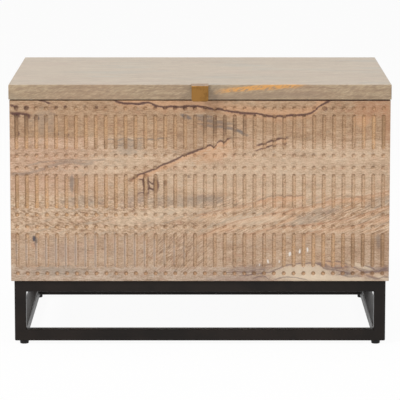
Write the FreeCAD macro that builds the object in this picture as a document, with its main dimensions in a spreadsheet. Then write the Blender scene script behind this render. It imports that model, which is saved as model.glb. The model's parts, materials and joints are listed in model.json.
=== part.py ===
import FreeCAD
import Part
import Sketcher
import math
import os

# Storage coffee table: a wooden box with a carved front and a hinged lid, on a welded frame of square tube.
# Millimetres. X runs to the right, Y to the back, Z up; the origin is on the floor in the table's middle.

doc = FreeCAD.newDocument("storage_table")
sheet = doc.addObject("Spreadsheet::Sheet", "Dimensions")

driving = {
    "lid_width": 660,
    "lid_depth": 457,
    "lid_thickness": 26,
    "lid_edge": 1,
    "lid_overhang": 1.5,
    "lid_gap": 2,
    "case_height": 316,
    "panel": 18,
    "rabbet": 9,
    "floor_thickness": 12,
    "slot_width": 7.4,
    "slot_length": 61.4,
    "carving_depth": 2.5,
    "dot_width": 8.2,
    "dot_offset": 41,
    "carving_columns": 38,
    "carving_rows": 3,
    "column_pitch": 17.13,
    "row_pitch": 103.4,
    "tube": 20,
    "tube_wall": 1.5,
    "tube_corner": 1.2,
    "frame_height": 107,
    "frame_inset": 5,
    "corner_plate_side": 46,
    "corner_plate_tip": 8,
    "corner_plate_gauge": 3,
    "foot_radius": 8,
    "foot_taper": 0.6,
    "foot_height": 6,
    "foot_inset": 16,
    "stem_radius": 3.5,
    "stem_height": 9,
    "pull_width": 29,
    "pull_gauge": 3,
    "pull_reach": 22,
    "pull_drop": 27,
    "pull_flange": 16,
    "pull_edge": 1.2,
    "pull_bend": 1,
    "pull_corner": 4,
    "hinge_length": 60,
    "hinge_spread": 205,
    "leaf_reach": 16,
    "leaf_gauge": 1.6,
    "leaf_gap": 0.2,
    "knuckle_radius": 3,
    "hinge_pin_radius": 1.5,
    "hinge_play": 0.3,
    "running_fit": 0.05,
    "stay_fit": 0.15,
    "bumper_radius": 5,
    "bumper_inset": 36,
    "stay_swing": 180,
    "stay_lid_drop": 13,
    "stay_wall_setback": 43.5,
    "stay_offset": 10.5,
    "bracket_gauge": 2.5,
    "bracket_width": 28,
    "bracket_height": 54,
    "bracket_corner": 4,
    "lid_bracket_length": 46,
    "lid_bracket_width": 20,
    "lid_bracket_clear": 3.7,
    "ear_top": 30,
    "ear_foot": 18,
    "ear_corner": 4,
    "pivot_radius": 4,
    "pivot_collar": 5,
    "pivot_head": 5.5,
    "pivot_head_gauge": 2,
    "eye_radius": 7,
    "eye_width": 8,
    "eye_reach": 14,
    "eye_neck": 3.8,
    "barrel_radius": 7.5,
    "barrel_wall": 1,
    "barrel_end": 4,
    "gland": 8,
    "rod_radius": 3,
    "rod_show": 5,
    "piston_gauge": 6,
    "piston_clear": 10,
}

for row, (alias, number) in enumerate(driving.items(), start=1):
    sheet.set(f"A{row}", alias)
    sheet.set(f"B{row}", str(number))
    sheet.setAlias(f"B{row}", alias)
doc.recompute()


class Size:
    """A length, with the sheet expression that gives it."""

    def __init__(self, number, text):
        self.number = number
        self.text = text

    def joined(self, sign, other, number):
        return Size(number, f"({self.text} {sign} {other.text})")

    def __add__(self, other):
        other = sized(other)
        return self.joined("+", other, self.number + other.number)

    def __sub__(self, other):
        other = sized(other)
        return self.joined("-", other, self.number - other.number)

    def __mul__(self, other):
        other = sized(other)
        return self.joined("*", other, self.number * other.number)

    def __truediv__(self, other):
        other = sized(other)
        return self.joined("/", other, self.number / other.number)

    def __radd__(self, other):
        return sized(other) + self

    def __rsub__(self, other):
        return sized(other) - self

    def __rmul__(self, other):
        return sized(other) * self

    def __neg__(self):
        return 0 - self


def sized(item):
    if isinstance(item, Size):
        return item
    return Size(float(item), f"({float(item)})")


def cell(alias):
    return Size(float(sheet.get(alias)), f"Dimensions.{alias}")


def root(size):
    return Size(math.sqrt(size.number), f"sqrt({size.text})")


def slope(rise, run):
    turn = math.degrees(math.atan2(rise.number, run.number))
    return Size(turn, f"atan2({rise.text}; {run.text})")


def bind(thing, path, size):
    thing.setExpression(path, sized(size).text)


x_axis = FreeCAD.Vector(1, 0, 0)
y_axis = FreeCAD.Vector(0, 1, 0)
z_axis = FreeCAD.Vector(0, 0, 1)


def place(thing, across, along, up, axis=z_axis, turn=0):
    """Sets a sub-part down at a point tied to the sheet, turned about one axis."""
    turn = sized(turn)
    thing.Placement = FreeCAD.Placement(FreeCAD.Vector(), FreeCAD.Rotation(axis, turn.number))
    bind(thing, "Placement.Base.x", across)
    bind(thing, "Placement.Base.y", along)
    bind(thing, "Placement.Base.z", up)
    if "Dimensions" in turn.text:
        bind(thing, "Placement.Rotation.Angle", turn)


def new_body(label):
    body = doc.addObject("PartDesign::Body", label)
    body.Label = label
    return body


def new_sketch(body, name, role, lift=0):
    """Empty sketch on one of the body's own planes, raised along the plane's normal."""
    sketch = body.newObject("Sketcher::SketchObject", name)
    planes = [plane for plane in body.Origin.OriginFeatures if plane.Role == role]
    sketch.AttachmentSupport = (planes[0], "")
    sketch.MapMode = "FlatFace"
    bind(sketch, "AttachmentOffset.Base.z", lift)
    return sketch


def tie(sketch, kind, index, point, size):
    number = sketch.addConstraint(Sketcher.Constraint(kind, index, point, size.number))
    bind(sketch, f"Constraints[{number}]", size)


def tie_point(sketch, index, point, across, up):
    tie(sketch, "DistanceX", index, point, sized(across))
    tie(sketch, "DistanceY", index, point, sized(up))


def outline(body, name, role, corners, lift=0):
    """Sketch of one straight-sided loop, each corner tied to the sheet."""
    sketch = new_sketch(body, name, role, lift)
    points = [FreeCAD.Vector(sized(across).number, sized(up).number, 0) for across, up in corners]
    count = len(corners)
    lines = [Part.LineSegment(points[index], points[(index + 1) % count]) for index in range(count)]
    sketch.addGeometry(lines)
    for index in range(count):
        sketch.addConstraint(Sketcher.Constraint("Coincident", index, 2, (index + 1) % count, 1))
    for index, (across, up) in enumerate(corners):
        tie_point(sketch, index, 1, across, up)
    return sketch


def rectangle(left, right, low, high):
    return [(left, low), (right, low), (right, high), (left, high)]


def ring_of_sides(count, across, up, radius, stretch=0):
    """Corners of an even-sided ring about a circle, drawn out upwards and downwards by the stretch."""
    points = []
    reach = radius / round(math.cos(math.pi / count), 6)
    for step in range(count):
        turn = math.pi * (2 * step + 1) / count
        lift = stretch if math.sin(turn) > 0 else -sized(stretch)
        sideways, upward = round(math.cos(turn), 6), round(math.sin(turn), 6)
        points.append((across + reach * sideways, up + reach * upward + lift))
    return points


def circle(body, name, role, up, radius, lift=0):
    """Sketch of a circle on the plane's upright axis, height and radius tied to the sheet."""
    sketch = new_sketch(body, name, role, lift)
    sketch.addGeometry(Part.Circle(FreeCAD.Vector(0, sized(up).number, 0), z_axis, radius.number))
    tie_point(sketch, 0, 3, 0, up)
    number = sketch.addConstraint(Sketcher.Constraint("Radius", 0, radius.number))
    bind(sketch, f"Constraints[{number}]", radius)
    return sketch


def pad(body, sketch, length, both_ways=False):
    feature = body.newObject("PartDesign::Pad", "pad")
    feature.Profile = sketch
    bind(feature, "Length", length)
    if both_ways:
        feature.SideType = "Symmetric"
    doc.recompute()
    return feature


def pocket(body, sketch, depth=None, upward=False):
    """Cut to a depth, or right through the body where no depth is given."""
    feature = body.newObject("PartDesign::Pocket", "pocket")
    feature.Profile = sketch
    if depth is None:
        feature.Type = "ThroughAll"
        feature.SideType = "Symmetric"
    else:
        bind(feature, "Length", depth)
        feature.Reversed = upward
    doc.recompute()
    return feature


def soften(body, base, radius, chosen):
    """Fillet on the edges of the last feature that the given test picks."""
    names = [f"Edge{number}" for number, edge in enumerate(base.Shape.Edges, start=1) if chosen(edge)]
    feature = body.newObject("PartDesign::Fillet", "rounded")
    feature.Base = (base, names)
    bind(feature, "Radius", radius)
    doc.recompute()
    return feature


def ease(body, base, size, chosen):
    """Small bevel on the edges of the last feature that the given test picks."""
    names = [f"Edge{number}" for number, edge in enumerate(base.Shape.Edges, start=1) if chosen(edge)]
    feature = body.newObject("PartDesign::Chamfer", "eased")
    feature.Base = (base, names)
    bind(feature, "Size", size)
    doc.recompute()
    return feature


def runs_along(edge, axis):
    start, end = edge.Vertexes[0].Point, edge.Vertexes[-1].Point
    return (end - start).cross(axis).Length < 0.001


def turned(label, corners):
    """Round part: a half section of (radius, height) corners turned about the body's Z axis."""
    body = new_body(label)
    sketch = outline(body, "half_section", "XZ_Plane", corners)
    feature = body.newObject("PartDesign::Revolution", "turning")
    feature.Profile = sketch
    feature.ReferenceAxis = (sketch, ["V_Axis"])
    feature.Angle = 360
    return body


def mitred(label, length, depth, height):
    """Straight bar with both ends cut at 45 degrees; its outer face lies on local Y = 0."""
    body = new_body(label)
    half = length / 2
    corners = [(-half, 0), (half, 0), (half - depth, depth), (depth - half, depth)]
    bar = pad(body, outline(body, "plan", "XY_Plane", corners), height)
    return body, bar


# Main levels and planes that several sub-parts share

case_width = cell("lid_width") - 2 * cell("lid_overhang")
case_depth = cell("lid_depth") - cell("lid_overhang")
hinge_behind = cell("knuckle_radius") + cell("hinge_play")
whole_depth = cell("lid_depth") + cell("pull_reach") + hinge_behind + cell("knuckle_radius")
lid_front = cell("pull_reach") - whole_depth / 2
case_front = lid_front + cell("lid_overhang")
case_back = case_front + case_depth
case_middle = (case_front + case_back) / 2
frame_bottom = cell("foot_height")
case_bottom = frame_bottom + cell("frame_height")
case_top = case_bottom + cell("case_height")
lid_bottom = case_top + cell("lid_gap")
lid_top = lid_bottom + cell("lid_thickness")
frame_width = case_width - 2 * cell("frame_inset")
frame_depth = case_depth - 2 * cell("frame_inset")
frame_front = case_front + cell("frame_inset")
frame_back = case_back - cell("frame_inset")
hinge_y = case_back + hinge_behind
hinge_z = case_top + cell("lid_gap") / 2
inner_half = case_width / 2 - cell("panel")

sub_parts = []


def keep(thing):
    sub_parts.append(thing)
    return thing


def keep_group(label, members):
    """Equal small pieces handed on together, still as separate solids."""
    group = doc.addObject("Part::Compound", label)
    group.Label = label
    group.Links = members
    return keep(group)


# Case: four mitred panels, rebated below for the floor panel

def case_panel(label, length, across, along, turn):
    body, bar = mitred(label, length, cell("panel"), cell("case_height"))
    inner = rectangle(-length / 2, length / 2, cell("panel") - cell("rabbet"), cell("panel"))
    pocket(body, outline(body, "rabbet_plan", "XY_Plane", inner), cell("floor_thickness"), upward=True)
    place(body, across, along, case_bottom, z_axis, turn)
    return keep(body)


def leaf_recesses(body, near, far, level, depth, upward):
    """Shallow seats for the two hinge leaves."""
    for side in (-1, 1):
        middle = side * cell("hinge_spread")
        half = cell("hinge_length") / 2
        seat = rectangle(middle - half, middle + half, near, far)
        pocket(body, outline(body, "leaf_seat", "XY_Plane", seat, level), depth, upward)


leaf_recess = cell("leaf_gauge") + cell("leaf_gap") / 2 - cell("lid_gap") / 2

left_panel = case_panel("left_side_panel", case_depth, -case_width / 2, case_middle, 270)
right_panel = case_panel("right_side_panel", case_depth, case_width / 2, case_middle, 90)
back_panel = case_panel("back_panel", case_width, 0, case_back, 180)
leaf_recesses(back_panel, 0, cell("leaf_reach"), cell("case_height"), leaf_recess, False)

floor_margin = cell("panel") - cell("rabbet")
floor_panel = keep(doc.addObject("Part::Box", "bottom_panel"))
bind(floor_panel, "Length", case_width - 2 * floor_margin)
bind(floor_panel, "Width", case_depth - 2 * floor_margin)
bind(floor_panel, "Height", cell("floor_thickness"))
place(floor_panel, floor_margin - case_width / 2, case_front + floor_margin, case_bottom)


# Base: two mitred rings of square tube with short legs between them

def hollow_square(body, role, shift=0):
    """Bore of the square tube, right through, on the given plane of the body."""
    low = shift + cell("tube_wall")
    high = shift + cell("tube") - cell("tube_wall")
    span = rectangle(cell("tube_wall"), cell("tube") - cell("tube_wall"), low, high)
    return pocket(body, outline(body, "tube_bore", role, span))


def rail(label, length, across, along, up, turn, feet=False):
    body, bar = mitred(label, length, cell("tube"), cell("tube"))
    ease(body, bar, cell("tube_corner"), lambda edge: runs_along(edge, x_axis))
    hollow_square(body, "YZ_Plane")
    if feet:
        reach = length / 2 - cell("foot_inset")
        for centre in (-reach, reach):
            hole = ring_of_sides(6, centre, cell("tube") / 2, cell("stem_radius"))
            pocket(body, outline(body, "stem_hole", "XY_Plane", hole), cell("tube_wall"), upward=True)
    place(body, across, along, up, z_axis, turn)
    return keep(body)


frame_middle = (frame_front + frame_back) / 2
top_ring = case_bottom - cell("tube")
for ring, level in (("top", top_ring), ("bottom", frame_bottom)):
    lower = ring == "bottom"
    rail(f"front_{ring}_rail", frame_width, 0, frame_front, level, 0, lower)
    rail(f"right_{ring}_rail", frame_depth, frame_width / 2, frame_middle, level, 90)
    rail(f"back_{ring}_rail", frame_width, 0, frame_back, level, 180, lower)
    rail(f"left_{ring}_rail", frame_depth, -frame_width / 2, frame_middle, level, 270)

corners = {
    "front_left": (-frame_width / 2, frame_front, 0),
    "front_right": (frame_width / 2, frame_front, 90),
    "back_right": (frame_width / 2, frame_back, 180),
    "back_left": (-frame_width / 2, frame_back, 270),
}


def leg(label, across, along, turn):
    body = new_body(label)
    square = rectangle(0, cell("tube"), 0, cell("tube"))
    post = pad(body, outline(body, "plan", "XY_Plane", square), cell("frame_height") - 2 * cell("tube"))
    ease(body, post, cell("tube_corner"), lambda edge: runs_along(edge, z_axis))
    hollow_square(body, "XY_Plane")
    place(body, across, along, frame_bottom + cell("tube"), z_axis, turn)
    return keep(body)


def corner_plate(label, across, along, turn):
    """Gusset welded inside a corner of the top ring, flush with its top; the case is screwed to it."""
    body = new_body(label)
    start = cell("tube")
    far = start + cell("corner_plate_side")
    near = start + cell("corner_plate_tip")
    plan = [(start, start), (far, start), (far, near), (near, far), (start, far)]
    pad(body, outline(body, "plan", "XY_Plane", plan), cell("corner_plate_gauge"))
    place(body, across, along, case_bottom - cell("corner_plate_gauge"), z_axis, turn)
    return keep(body)


for corner, (across, along, turn) in corners.items():
    leg(f"{corner}_leg", across, along, turn)
    corner_plate(f"{corner}_corner_plate", across, along, turn)


def foot(label, across, along):
    """Plastic glide with a six-sided stem pressed into the rail above it."""
    radius, level = cell("foot_radius"), cell("foot_height")
    body = turned(label, [(0, 0), (radius - cell("foot_taper"), 0), (radius, level), (0, level)])
    stem = outline(body, "stem", "XY_Plane", ring_of_sides(6, sized(0), sized(0), cell("stem_radius")), level)
    pad(body, stem, cell("stem_height"))
    place(body, across, along, 0)
    return body


foot_x = frame_width / 2 - cell("foot_inset")
feet = []
for end, along in (("front", frame_front + cell("tube") / 2), ("back", frame_back - cell("tube") / 2)):
    feet.append(foot(f"{end}_left_foot", -foot_x, along))
    feet.append(foot(f"{end}_right_foot", foot_x, along))
keep_group("feet", feet)


# Lid: one board with eased edges, recessed for the hinge leaves and the pull

lid = new_body("lid_panel")
half_lid = cell("lid_width") / 2
lid_plan = rectangle(-half_lid, half_lid, 0, cell("lid_depth"))
board = pad(lid, outline(lid, "plan", "XY_Plane", lid_plan), cell("lid_thickness"))
ease(lid, board, cell("lid_edge"), lambda edge: edge.CenterOfMass.z > 1)
leaf_recesses(lid, cell("lid_depth") - cell("leaf_reach"), cell("lid_depth"), 0, leaf_recess, True)
half_pull = cell("pull_width") / 2
pull_seat = rectangle(-half_pull, half_pull, 0, cell("pull_flange"))
pocket(lid, outline(lid, "pull_seat", "XY_Plane", pull_seat, cell("lid_thickness")), cell("pull_gauge"))
place(lid, 0, lid_front, lid_bottom)
keep(lid)


def lid_pull():
    """Bent brass strip: the flange is let into the lid, the lip hangs in front for the fingers."""
    body = new_body("lid_pull")
    gauge, reach, drop = cell("pull_gauge"), cell("pull_reach"), cell("pull_drop")
    section = [
        (cell("pull_flange"), 0),
        (cell("pull_flange"), -gauge),
        (gauge - reach, -gauge),
        (gauge - reach, -drop),
        (-reach, -drop),
        (-reach, 0),
    ]
    strip = pad(body, outline(body, "bend_section", "YZ_Plane", section), cell("pull_width"), both_ways=True)
    front = -reach.number
    outer = soften(
        body, strip, cell("pull_edge"),
        lambda edge: runs_along(edge, x_axis)
        and abs(edge.CenterOfMass.y - front) + abs(edge.CenterOfMass.z) < 0.001,
    )
    inner_y, inner_z = (gauge - reach).number, -gauge.number
    inner = soften(
        body, outer, cell("pull_bend"),
        lambda edge: runs_along(edge, x_axis)
        and abs(edge.CenterOfMass.y - inner_y) + abs(edge.CenterOfMass.z - inner_z) < 0.001,
    )
    low = -drop.number
    soften(
        body, inner, cell("pull_corner"),
        lambda edge: runs_along(edge, y_axis) and abs(edge.CenterOfMass.z - low) < 0.001,
    )
    place(body, 0, lid_front, lid_top)
    return keep(body)


lid_pull()


def bumper(label, across):
    """Soft pad under a front corner of the lid."""
    thick = cell("lid_gap") - 0.1
    body = turned(label, [(0, 0), (cell("bumper_radius"), 0), (cell("bumper_radius"), thick), (0, thick)])
    place(body, across, case_front + cell("panel") / 2, lid_bottom - thick)
    return body


bumper_x = case_width / 2 - cell("bumper_inset")
keep_group("lid_bumpers", [bumper("left_bumper", -bumper_x), bumper("right_bumper", bumper_x)])


# Butt hinges: the case leaf has the two outer knuckles and their riveted pin, the lid leaf the middle one

def hinge_leaf(label, across, on_lid):
    body = new_body(label)
    half = cell("hinge_length") / 2
    third = cell("hinge_length") / 6
    reach = cell("leaf_reach") + hinge_behind
    clear = cell("knuckle_radius") + cell("hinge_play")
    play = cell("leaf_gap") / 2
    if on_lid:
        step = third - play
        plan = [(-half, -reach), (half, -reach), (half, -clear), (step, -clear)]
        plan += [(step, 0), (-step, 0), (-step, -clear), (-half, -clear)]
        knuckles = [(-step, 2 * step)]
        level = play
    else:
        step = third + play
        plan = [(-half, -reach), (half, -reach), (half, 0), (step, 0)]
        plan += [(step, -clear), (-step, -clear), (-step, 0), (-half, 0)]
        knuckles = [(-half, half - step), (step, half - step)]
        level = -play - cell("leaf_gauge")
    pad(body, outline(body, "plan", "XY_Plane", plan, level), cell("leaf_gauge"))
    for start, length in knuckles:
        pad(body, circle(body, "knuckle", "YZ_Plane", 0, cell("knuckle_radius"), start), length)
    if on_lid:
        bore = cell("hinge_pin_radius") + cell("running_fit")
        pocket(body, circle(body, "pin_bore", "YZ_Plane", 0, bore))
    else:
        pad(body, circle(body, "pin", "YZ_Plane", 0, cell("hinge_pin_radius"), -step), 2 * step)
    place(body, across, hinge_y, hinge_z)
    return body


case_leaves, lid_leaves = [], []
for side, across in (("left", -cell("hinge_spread")), ("right", cell("hinge_spread"))):
    case_leaves.append(hinge_leaf(f"{side}_case_leaf", across, False))
    lid_leaves.append(hinge_leaf(f"{side}_lid_leaf", across, True))
keep_group("hinge_case_leaves", case_leaves)
keep_group("hinge_lid_leaves", lid_leaves)


# Lid stays: a rod sliding in a barrel; both pivots are as far from the hinge pin as each other,
# so the stay turns half as fast as the lid

swing = cell("stay_swing")
upper_y = hinge_y - root(swing * swing - cell("stay_lid_drop") * cell("stay_lid_drop"))
upper_z = hinge_z - cell("stay_lid_drop")
lower_y = hinge_y - cell("stay_wall_setback")
lower_z = hinge_z - root(swing * swing - cell("stay_wall_setback") * cell("stay_wall_setback"))
stay_run = lower_y - upper_y
stay_rise = upper_z - lower_z
stay_length = root(stay_run * stay_run + stay_rise * stay_rise)
stay_lean = slope(stay_run, stay_rise)
barrel_top = stay_length - cell("eye_reach") - cell("rod_show")
eye_start = cell("stay_offset") - cell("eye_width") / 2
eye_end = cell("stay_offset") + cell("eye_width") / 2


def add_stud(body, start):
    """Riveted pivot: a shank for the stay's eye, a six-sided head, and a collar where the eye stands off."""
    stop = eye_start - cell("hinge_play")
    back_of_head = eye_end + cell("hinge_play")
    if stop.number - start.number > 0.1:
        collar = ring_of_sides(6, sized(0), sized(0), cell("pivot_collar"))
        pad(body, outline(body, "collar", "YZ_Plane", collar, start), stop - start)
        start = stop
    pad(body, circle(body, "shank", "YZ_Plane", 0, cell("pivot_radius"), start), back_of_head - start)
    head = ring_of_sides(6, sized(0), sized(0), cell("pivot_head"))
    pad(body, outline(body, "head", "YZ_Plane", head, back_of_head), cell("pivot_head_gauge"))


def wall_bracket(label, wall_x, turn):
    """Plate screwed to the side panel, its corners cut off."""
    body = new_body(label)
    half, tall = cell("bracket_width") / 2, cell("bracket_height") / 2
    face = outline(body, "face", "YZ_Plane", rectangle(-half, half, -tall, tall))
    plate = pad(body, face, cell("bracket_gauge"))
    ease(body, plate, cell("bracket_corner"), lambda edge: runs_along(edge, x_axis))
    add_stud(body, cell("bracket_gauge"))
    place(body, wall_x, lower_y, lower_z, z_axis, turn)
    return body


def lid_bracket(label, wall_x, turn):
    """Flat plate under the lid with an ear turned down for the pivot."""
    body = new_body(label)
    near, far = cell("lid_bracket_clear"), cell("lid_bracket_clear") + cell("lid_bracket_width")
    half, gauge = cell("lid_bracket_length") / 2, cell("bracket_gauge")
    top = lid_bottom - upper_z
    pad(body, outline(body, "plate", "XY_Plane", rectangle(near, far, -half, half), top - gauge), gauge)
    wide, narrow = cell("ear_top") / 2, cell("ear_foot") / 2
    ear = [(-narrow, -narrow), (narrow, -narrow), (wide, top - gauge), (-wide, top - gauge)]
    ear_pad = pad(body, outline(body, "ear", "YZ_Plane", ear, near), gauge)
    low = -narrow.number
    ease(
        body, ear_pad, cell("ear_corner"),
        lambda edge: runs_along(edge, x_axis) and abs(edge.CenterOfMass.z - low) < 0.001,
    )
    add_stud(body, near + gauge)
    place(body, wall_x, upper_y, upper_z, z_axis, turn)
    return body


def add_eye(body, level):
    """Ring welded to the end of a stay, bored to run on its pivot."""
    height = sized(level)
    ring = circle(body, "ring", "YZ_Plane", height, cell("eye_radius"))
    pad(body, ring, cell("eye_width"), both_ways=True)
    bore = cell("pivot_radius") + cell("stay_fit")
    pocket(body, circle(body, "pivot_bore", "YZ_Plane", height, bore))


def stay_barrel(label, across):
    outer, inner = cell("barrel_radius"), cell("barrel_radius") - cell("barrel_wall")
    neck, low, top = cell("eye_neck"), cell("eye_reach"), barrel_top
    throat = cell("rod_radius") + cell("stay_fit")
    section = [(0, 0), (neck, 0), (neck, low), (outer, low), (outer, top), (throat, top)]
    section += [(throat, top - cell("gland")), (inner, top - cell("gland"))]
    section += [(inner, low + cell("barrel_end")), (0, low + cell("barrel_end"))]
    body = turned(label, section)
    add_eye(body, 0)
    place(body, across, lower_y, lower_z, x_axis, stay_lean)
    return keep(body)


def stay_rod(label, across):
    rod = cell("rod_radius")
    piston = cell("barrel_radius") - cell("barrel_wall") - cell("stay_fit")
    low = cell("eye_reach") + cell("barrel_end") + cell("piston_clear")
    high = low + cell("piston_gauge")
    section = [(0, low), (piston, low), (piston, high), (rod, high), (rod, stay_length), (0, stay_length)]
    body = turned(label, section)
    add_eye(body, stay_length)
    place(body, across, lower_y, lower_z, x_axis, stay_lean)
    return keep(body)


wall_brackets, lid_brackets = [], []
for side, sign, turn in (("left", -1, 0), ("right", 1, 180)):
    wall_x = sign * inner_half
    stay_x = sign * (inner_half - cell("stay_offset"))
    wall_brackets.append(wall_bracket(f"{side}_wall_bracket", wall_x, turn))
    lid_brackets.append(lid_bracket(f"{side}_lid_bracket", wall_x, turn))
    stay_barrel(f"{side}_stay_barrel", stay_x)
    stay_rod(f"{side}_stay_rod", stay_x)
keep_group("stay_wall_brackets", wall_brackets)
keep_group("stay_lid_brackets", lid_brackets)


# Front panel: one slot and two dots are cut, then repeated in rows and columns over the whole face

def carved_dot(body, across, up):
    """Pit cut by a pointed tool: a six-sided rim drawn down to a point."""
    rim = outline(body, "dot_rim", "XZ_Plane", ring_of_sides(6, across, up, cell("dot_width") / 2))
    tip = new_sketch(body, "dot_tip", "XZ_Plane", -cell("carving_depth"))
    tip.addGeometry(Part.Point(FreeCAD.Vector(across.number, up.number, 0)))
    tie_point(tip, 0, 1, across, up)
    doc.recompute()
    pit = body.newObject("PartDesign::SubtractiveLoft", "dot")
    pit.Profile = rim
    pit.Sections = [(tip, ["Vertex1"])]
    doc.recompute()
    return pit


def repeat(body, name, sketch, axis, pitch, count):
    pattern = body.newObject("PartDesign::LinearPattern", name)
    pattern.Direction = (sketch, [axis])
    bind(pattern, "Length", pitch * (count - 1))
    bind(pattern, "Occurrences", count)
    return pattern


def carve(body):
    rows, columns = cell("carving_rows"), cell("carving_columns")
    across = -cell("column_pitch") * (columns - 1) / 2
    up = cell("case_height") / 2 - cell("row_pitch") * (rows - 1) / 2
    stretch = (cell("slot_length") - cell("slot_width")) / 2
    rim = outline(body, "slot_rim", "XZ_Plane", ring_of_sides(8, across, up, cell("slot_width") / 2, stretch))
    slot = pocket(body, rim, cell("carving_depth"))
    offset = cell("dot_offset")
    dots = [carved_dot(body, across, up - offset), carved_dot(body, across, up + offset)]
    carving = body.newObject("PartDesign::MultiTransform", "carving")
    carving.Refine = False
    carving.Originals = [slot] + dots
    carving.Transformations = [
        repeat(body, "carving_up", rim, "V_Axis", cell("row_pitch"), rows),
        repeat(body, "carving_across", rim, "H_Axis", cell("column_pitch"), columns),
    ]
    body.Tip = carving


front_panel = case_panel("front_panel", case_width, 0, case_front, 0)
carve(front_panel)
doc.recompute()

for thing in doc.Objects:
    if "Invalid" in thing.State or "Error" in thing.State:
        raise RuntimeError(f"{thing.Label} did not compute")
os.makedirs("parts", exist_ok=True)
for thing in sub_parts:
    if thing.Shape.isNull() or not thing.Shape.isValid():
        raise RuntimeError(f"{thing.Label} has no sound solid")
    thing.Shape.exportStep(f"parts/{thing.Label}.step")
print(len(sub_parts), "sub-parts written")
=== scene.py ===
import json
import math

import bmesh
import bpy
from mathutils import Matrix, Vector

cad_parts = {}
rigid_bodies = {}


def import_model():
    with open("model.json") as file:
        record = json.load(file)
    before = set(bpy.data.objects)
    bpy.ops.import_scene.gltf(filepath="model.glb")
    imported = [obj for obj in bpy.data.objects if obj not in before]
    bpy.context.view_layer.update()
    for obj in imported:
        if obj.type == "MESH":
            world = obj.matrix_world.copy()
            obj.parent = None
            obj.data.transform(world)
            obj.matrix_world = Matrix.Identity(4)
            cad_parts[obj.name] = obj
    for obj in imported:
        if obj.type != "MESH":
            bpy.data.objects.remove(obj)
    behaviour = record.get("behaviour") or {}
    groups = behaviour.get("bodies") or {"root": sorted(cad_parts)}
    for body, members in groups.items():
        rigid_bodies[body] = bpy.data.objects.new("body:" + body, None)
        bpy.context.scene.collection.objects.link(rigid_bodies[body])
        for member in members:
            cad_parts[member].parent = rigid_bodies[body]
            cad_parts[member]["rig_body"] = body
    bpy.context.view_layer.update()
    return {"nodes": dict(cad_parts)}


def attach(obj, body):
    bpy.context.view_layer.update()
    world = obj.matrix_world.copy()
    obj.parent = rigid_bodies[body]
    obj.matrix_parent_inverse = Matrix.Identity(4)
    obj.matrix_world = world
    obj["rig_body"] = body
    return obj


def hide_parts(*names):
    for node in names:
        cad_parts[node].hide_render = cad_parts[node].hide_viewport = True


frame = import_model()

cadNodes = frame["nodes"]
scene = bpy.context.scene
mm = 0.001
print("frame loaded,", len(cadNodes), "nodes")


# small helpers for the shader trees

def screenLevel(level):  # the usual curve of a screen, undone
    part = level / 255
    return part / 12.92 if part < 0.0405 else ((part + 0.055) / 1.055) ** 2.4


def tone(red, green, blue):  # a colour as read off a screen
    return screenLevel(red), screenLevel(green), screenLevel(blue), 1.0


def openMaterial(name):
    material = bpy.data.materials.new(name)
    material.use_nodes = True
    tree = material.node_tree
    shader = tree.nodes["Principled BSDF"]
    spot = tree.nodes.new("ShaderNodeTexCoord").outputs["Object"]
    return material, tree, shader, spot


def feed(tree, socket, value):
    if isinstance(value, bpy.types.NodeSocket):
        tree.links.new(value, socket)
    else:
        socket.default_value = value


def maths(tree, operation, *values):
    node = tree.nodes.new("ShaderNodeMath")
    node.operation = operation
    for socket, value in zip(node.inputs, values):
        feed(tree, socket, value)
    return node.outputs[0]


def chained(tree, operation, values):
    result = values[0]
    for value in values[1:]:
        result = maths(tree, operation, result, value)
    return result


def times(tree, *values):
    return chained(tree, "MULTIPLY", values)


def total(tree, *values):
    return chained(tree, "ADD", values)


def fade(tree, value, start, end, reach=1.0):  # 0 at start, the reach at end, eased between
    node = tree.nodes.new("ShaderNodeMapRange")
    node.interpolation_type = "SMOOTHSTEP"
    node.clamp = False  # eased values stay in 0..1 by themselves
    feed(tree, node.inputs["Value"], value)
    feed(tree, node.inputs["From Min"], start)
    feed(tree, node.inputs["From Max"], end)
    feed(tree, node.inputs["To Max"], reach)
    return node.outputs["Result"]


def span(tree, value, low, high):  # straight remap from 0..1
    node = tree.nodes.new("ShaderNodeMapRange")
    node.clamp = False
    feed(tree, node.inputs["Value"], value)
    node.inputs["To Min"].default_value = low
    node.inputs["To Max"].default_value = high
    return node.outputs["Result"]


def wash(tree, amount, under, over, kind="MIX"):
    node = tree.nodes.new("ShaderNodeMix")
    node.data_type = "RGBA"
    node.blend_type = kind
    feed(tree, node.inputs[0], amount)
    feed(tree, node.inputs[6], under)
    feed(tree, node.inputs[7], over)
    return node.outputs[2]


def blend(tree, amount, first, second):
    node = tree.nodes.new("ShaderNodeMix")
    feed(tree, node.inputs[0], amount)
    feed(tree, node.inputs[2], first)
    feed(tree, node.inputs[3], second)
    return node.outputs[0]


def swing(tree, value, reach):  # a noise about zero
    return times(tree, maths(tree, "SUBTRACT", value, 0.5), reach)


def split(tree, vector):
    node = tree.nodes.new("ShaderNodeSeparateXYZ")
    tree.links.new(vector, node.inputs[0])
    return {axis: node.outputs[axis] for axis in "XYZ"}


def joined(tree, x, y, z):
    node = tree.nodes.new("ShaderNodeCombineXYZ")
    for socket, value in zip(node.inputs, (x, y, z)):
        feed(tree, socket, value)
    return node.outputs[0]


def dotted(tree, vector, row):
    node = tree.nodes.new("ShaderNodeVectorMath")
    node.operation = "DOT_PRODUCT"
    tree.links.new(vector, node.inputs[0])
    node.inputs[1].default_value = row
    return node.outputs["Value"]


def laid(tree, vector, size, turn=(0, 0, 0)):  # room for a pattern of a given size, turned about the origin
    node = tree.nodes.new("ShaderNodeMapping")
    node.vector_type = "TEXTURE"
    tree.links.new(vector, node.inputs["Vector"])
    node.inputs["Rotation"].default_value = [math.radians(angle) for angle in turn]
    node.inputs["Scale"].default_value = size
    return node.outputs[0]


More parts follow.
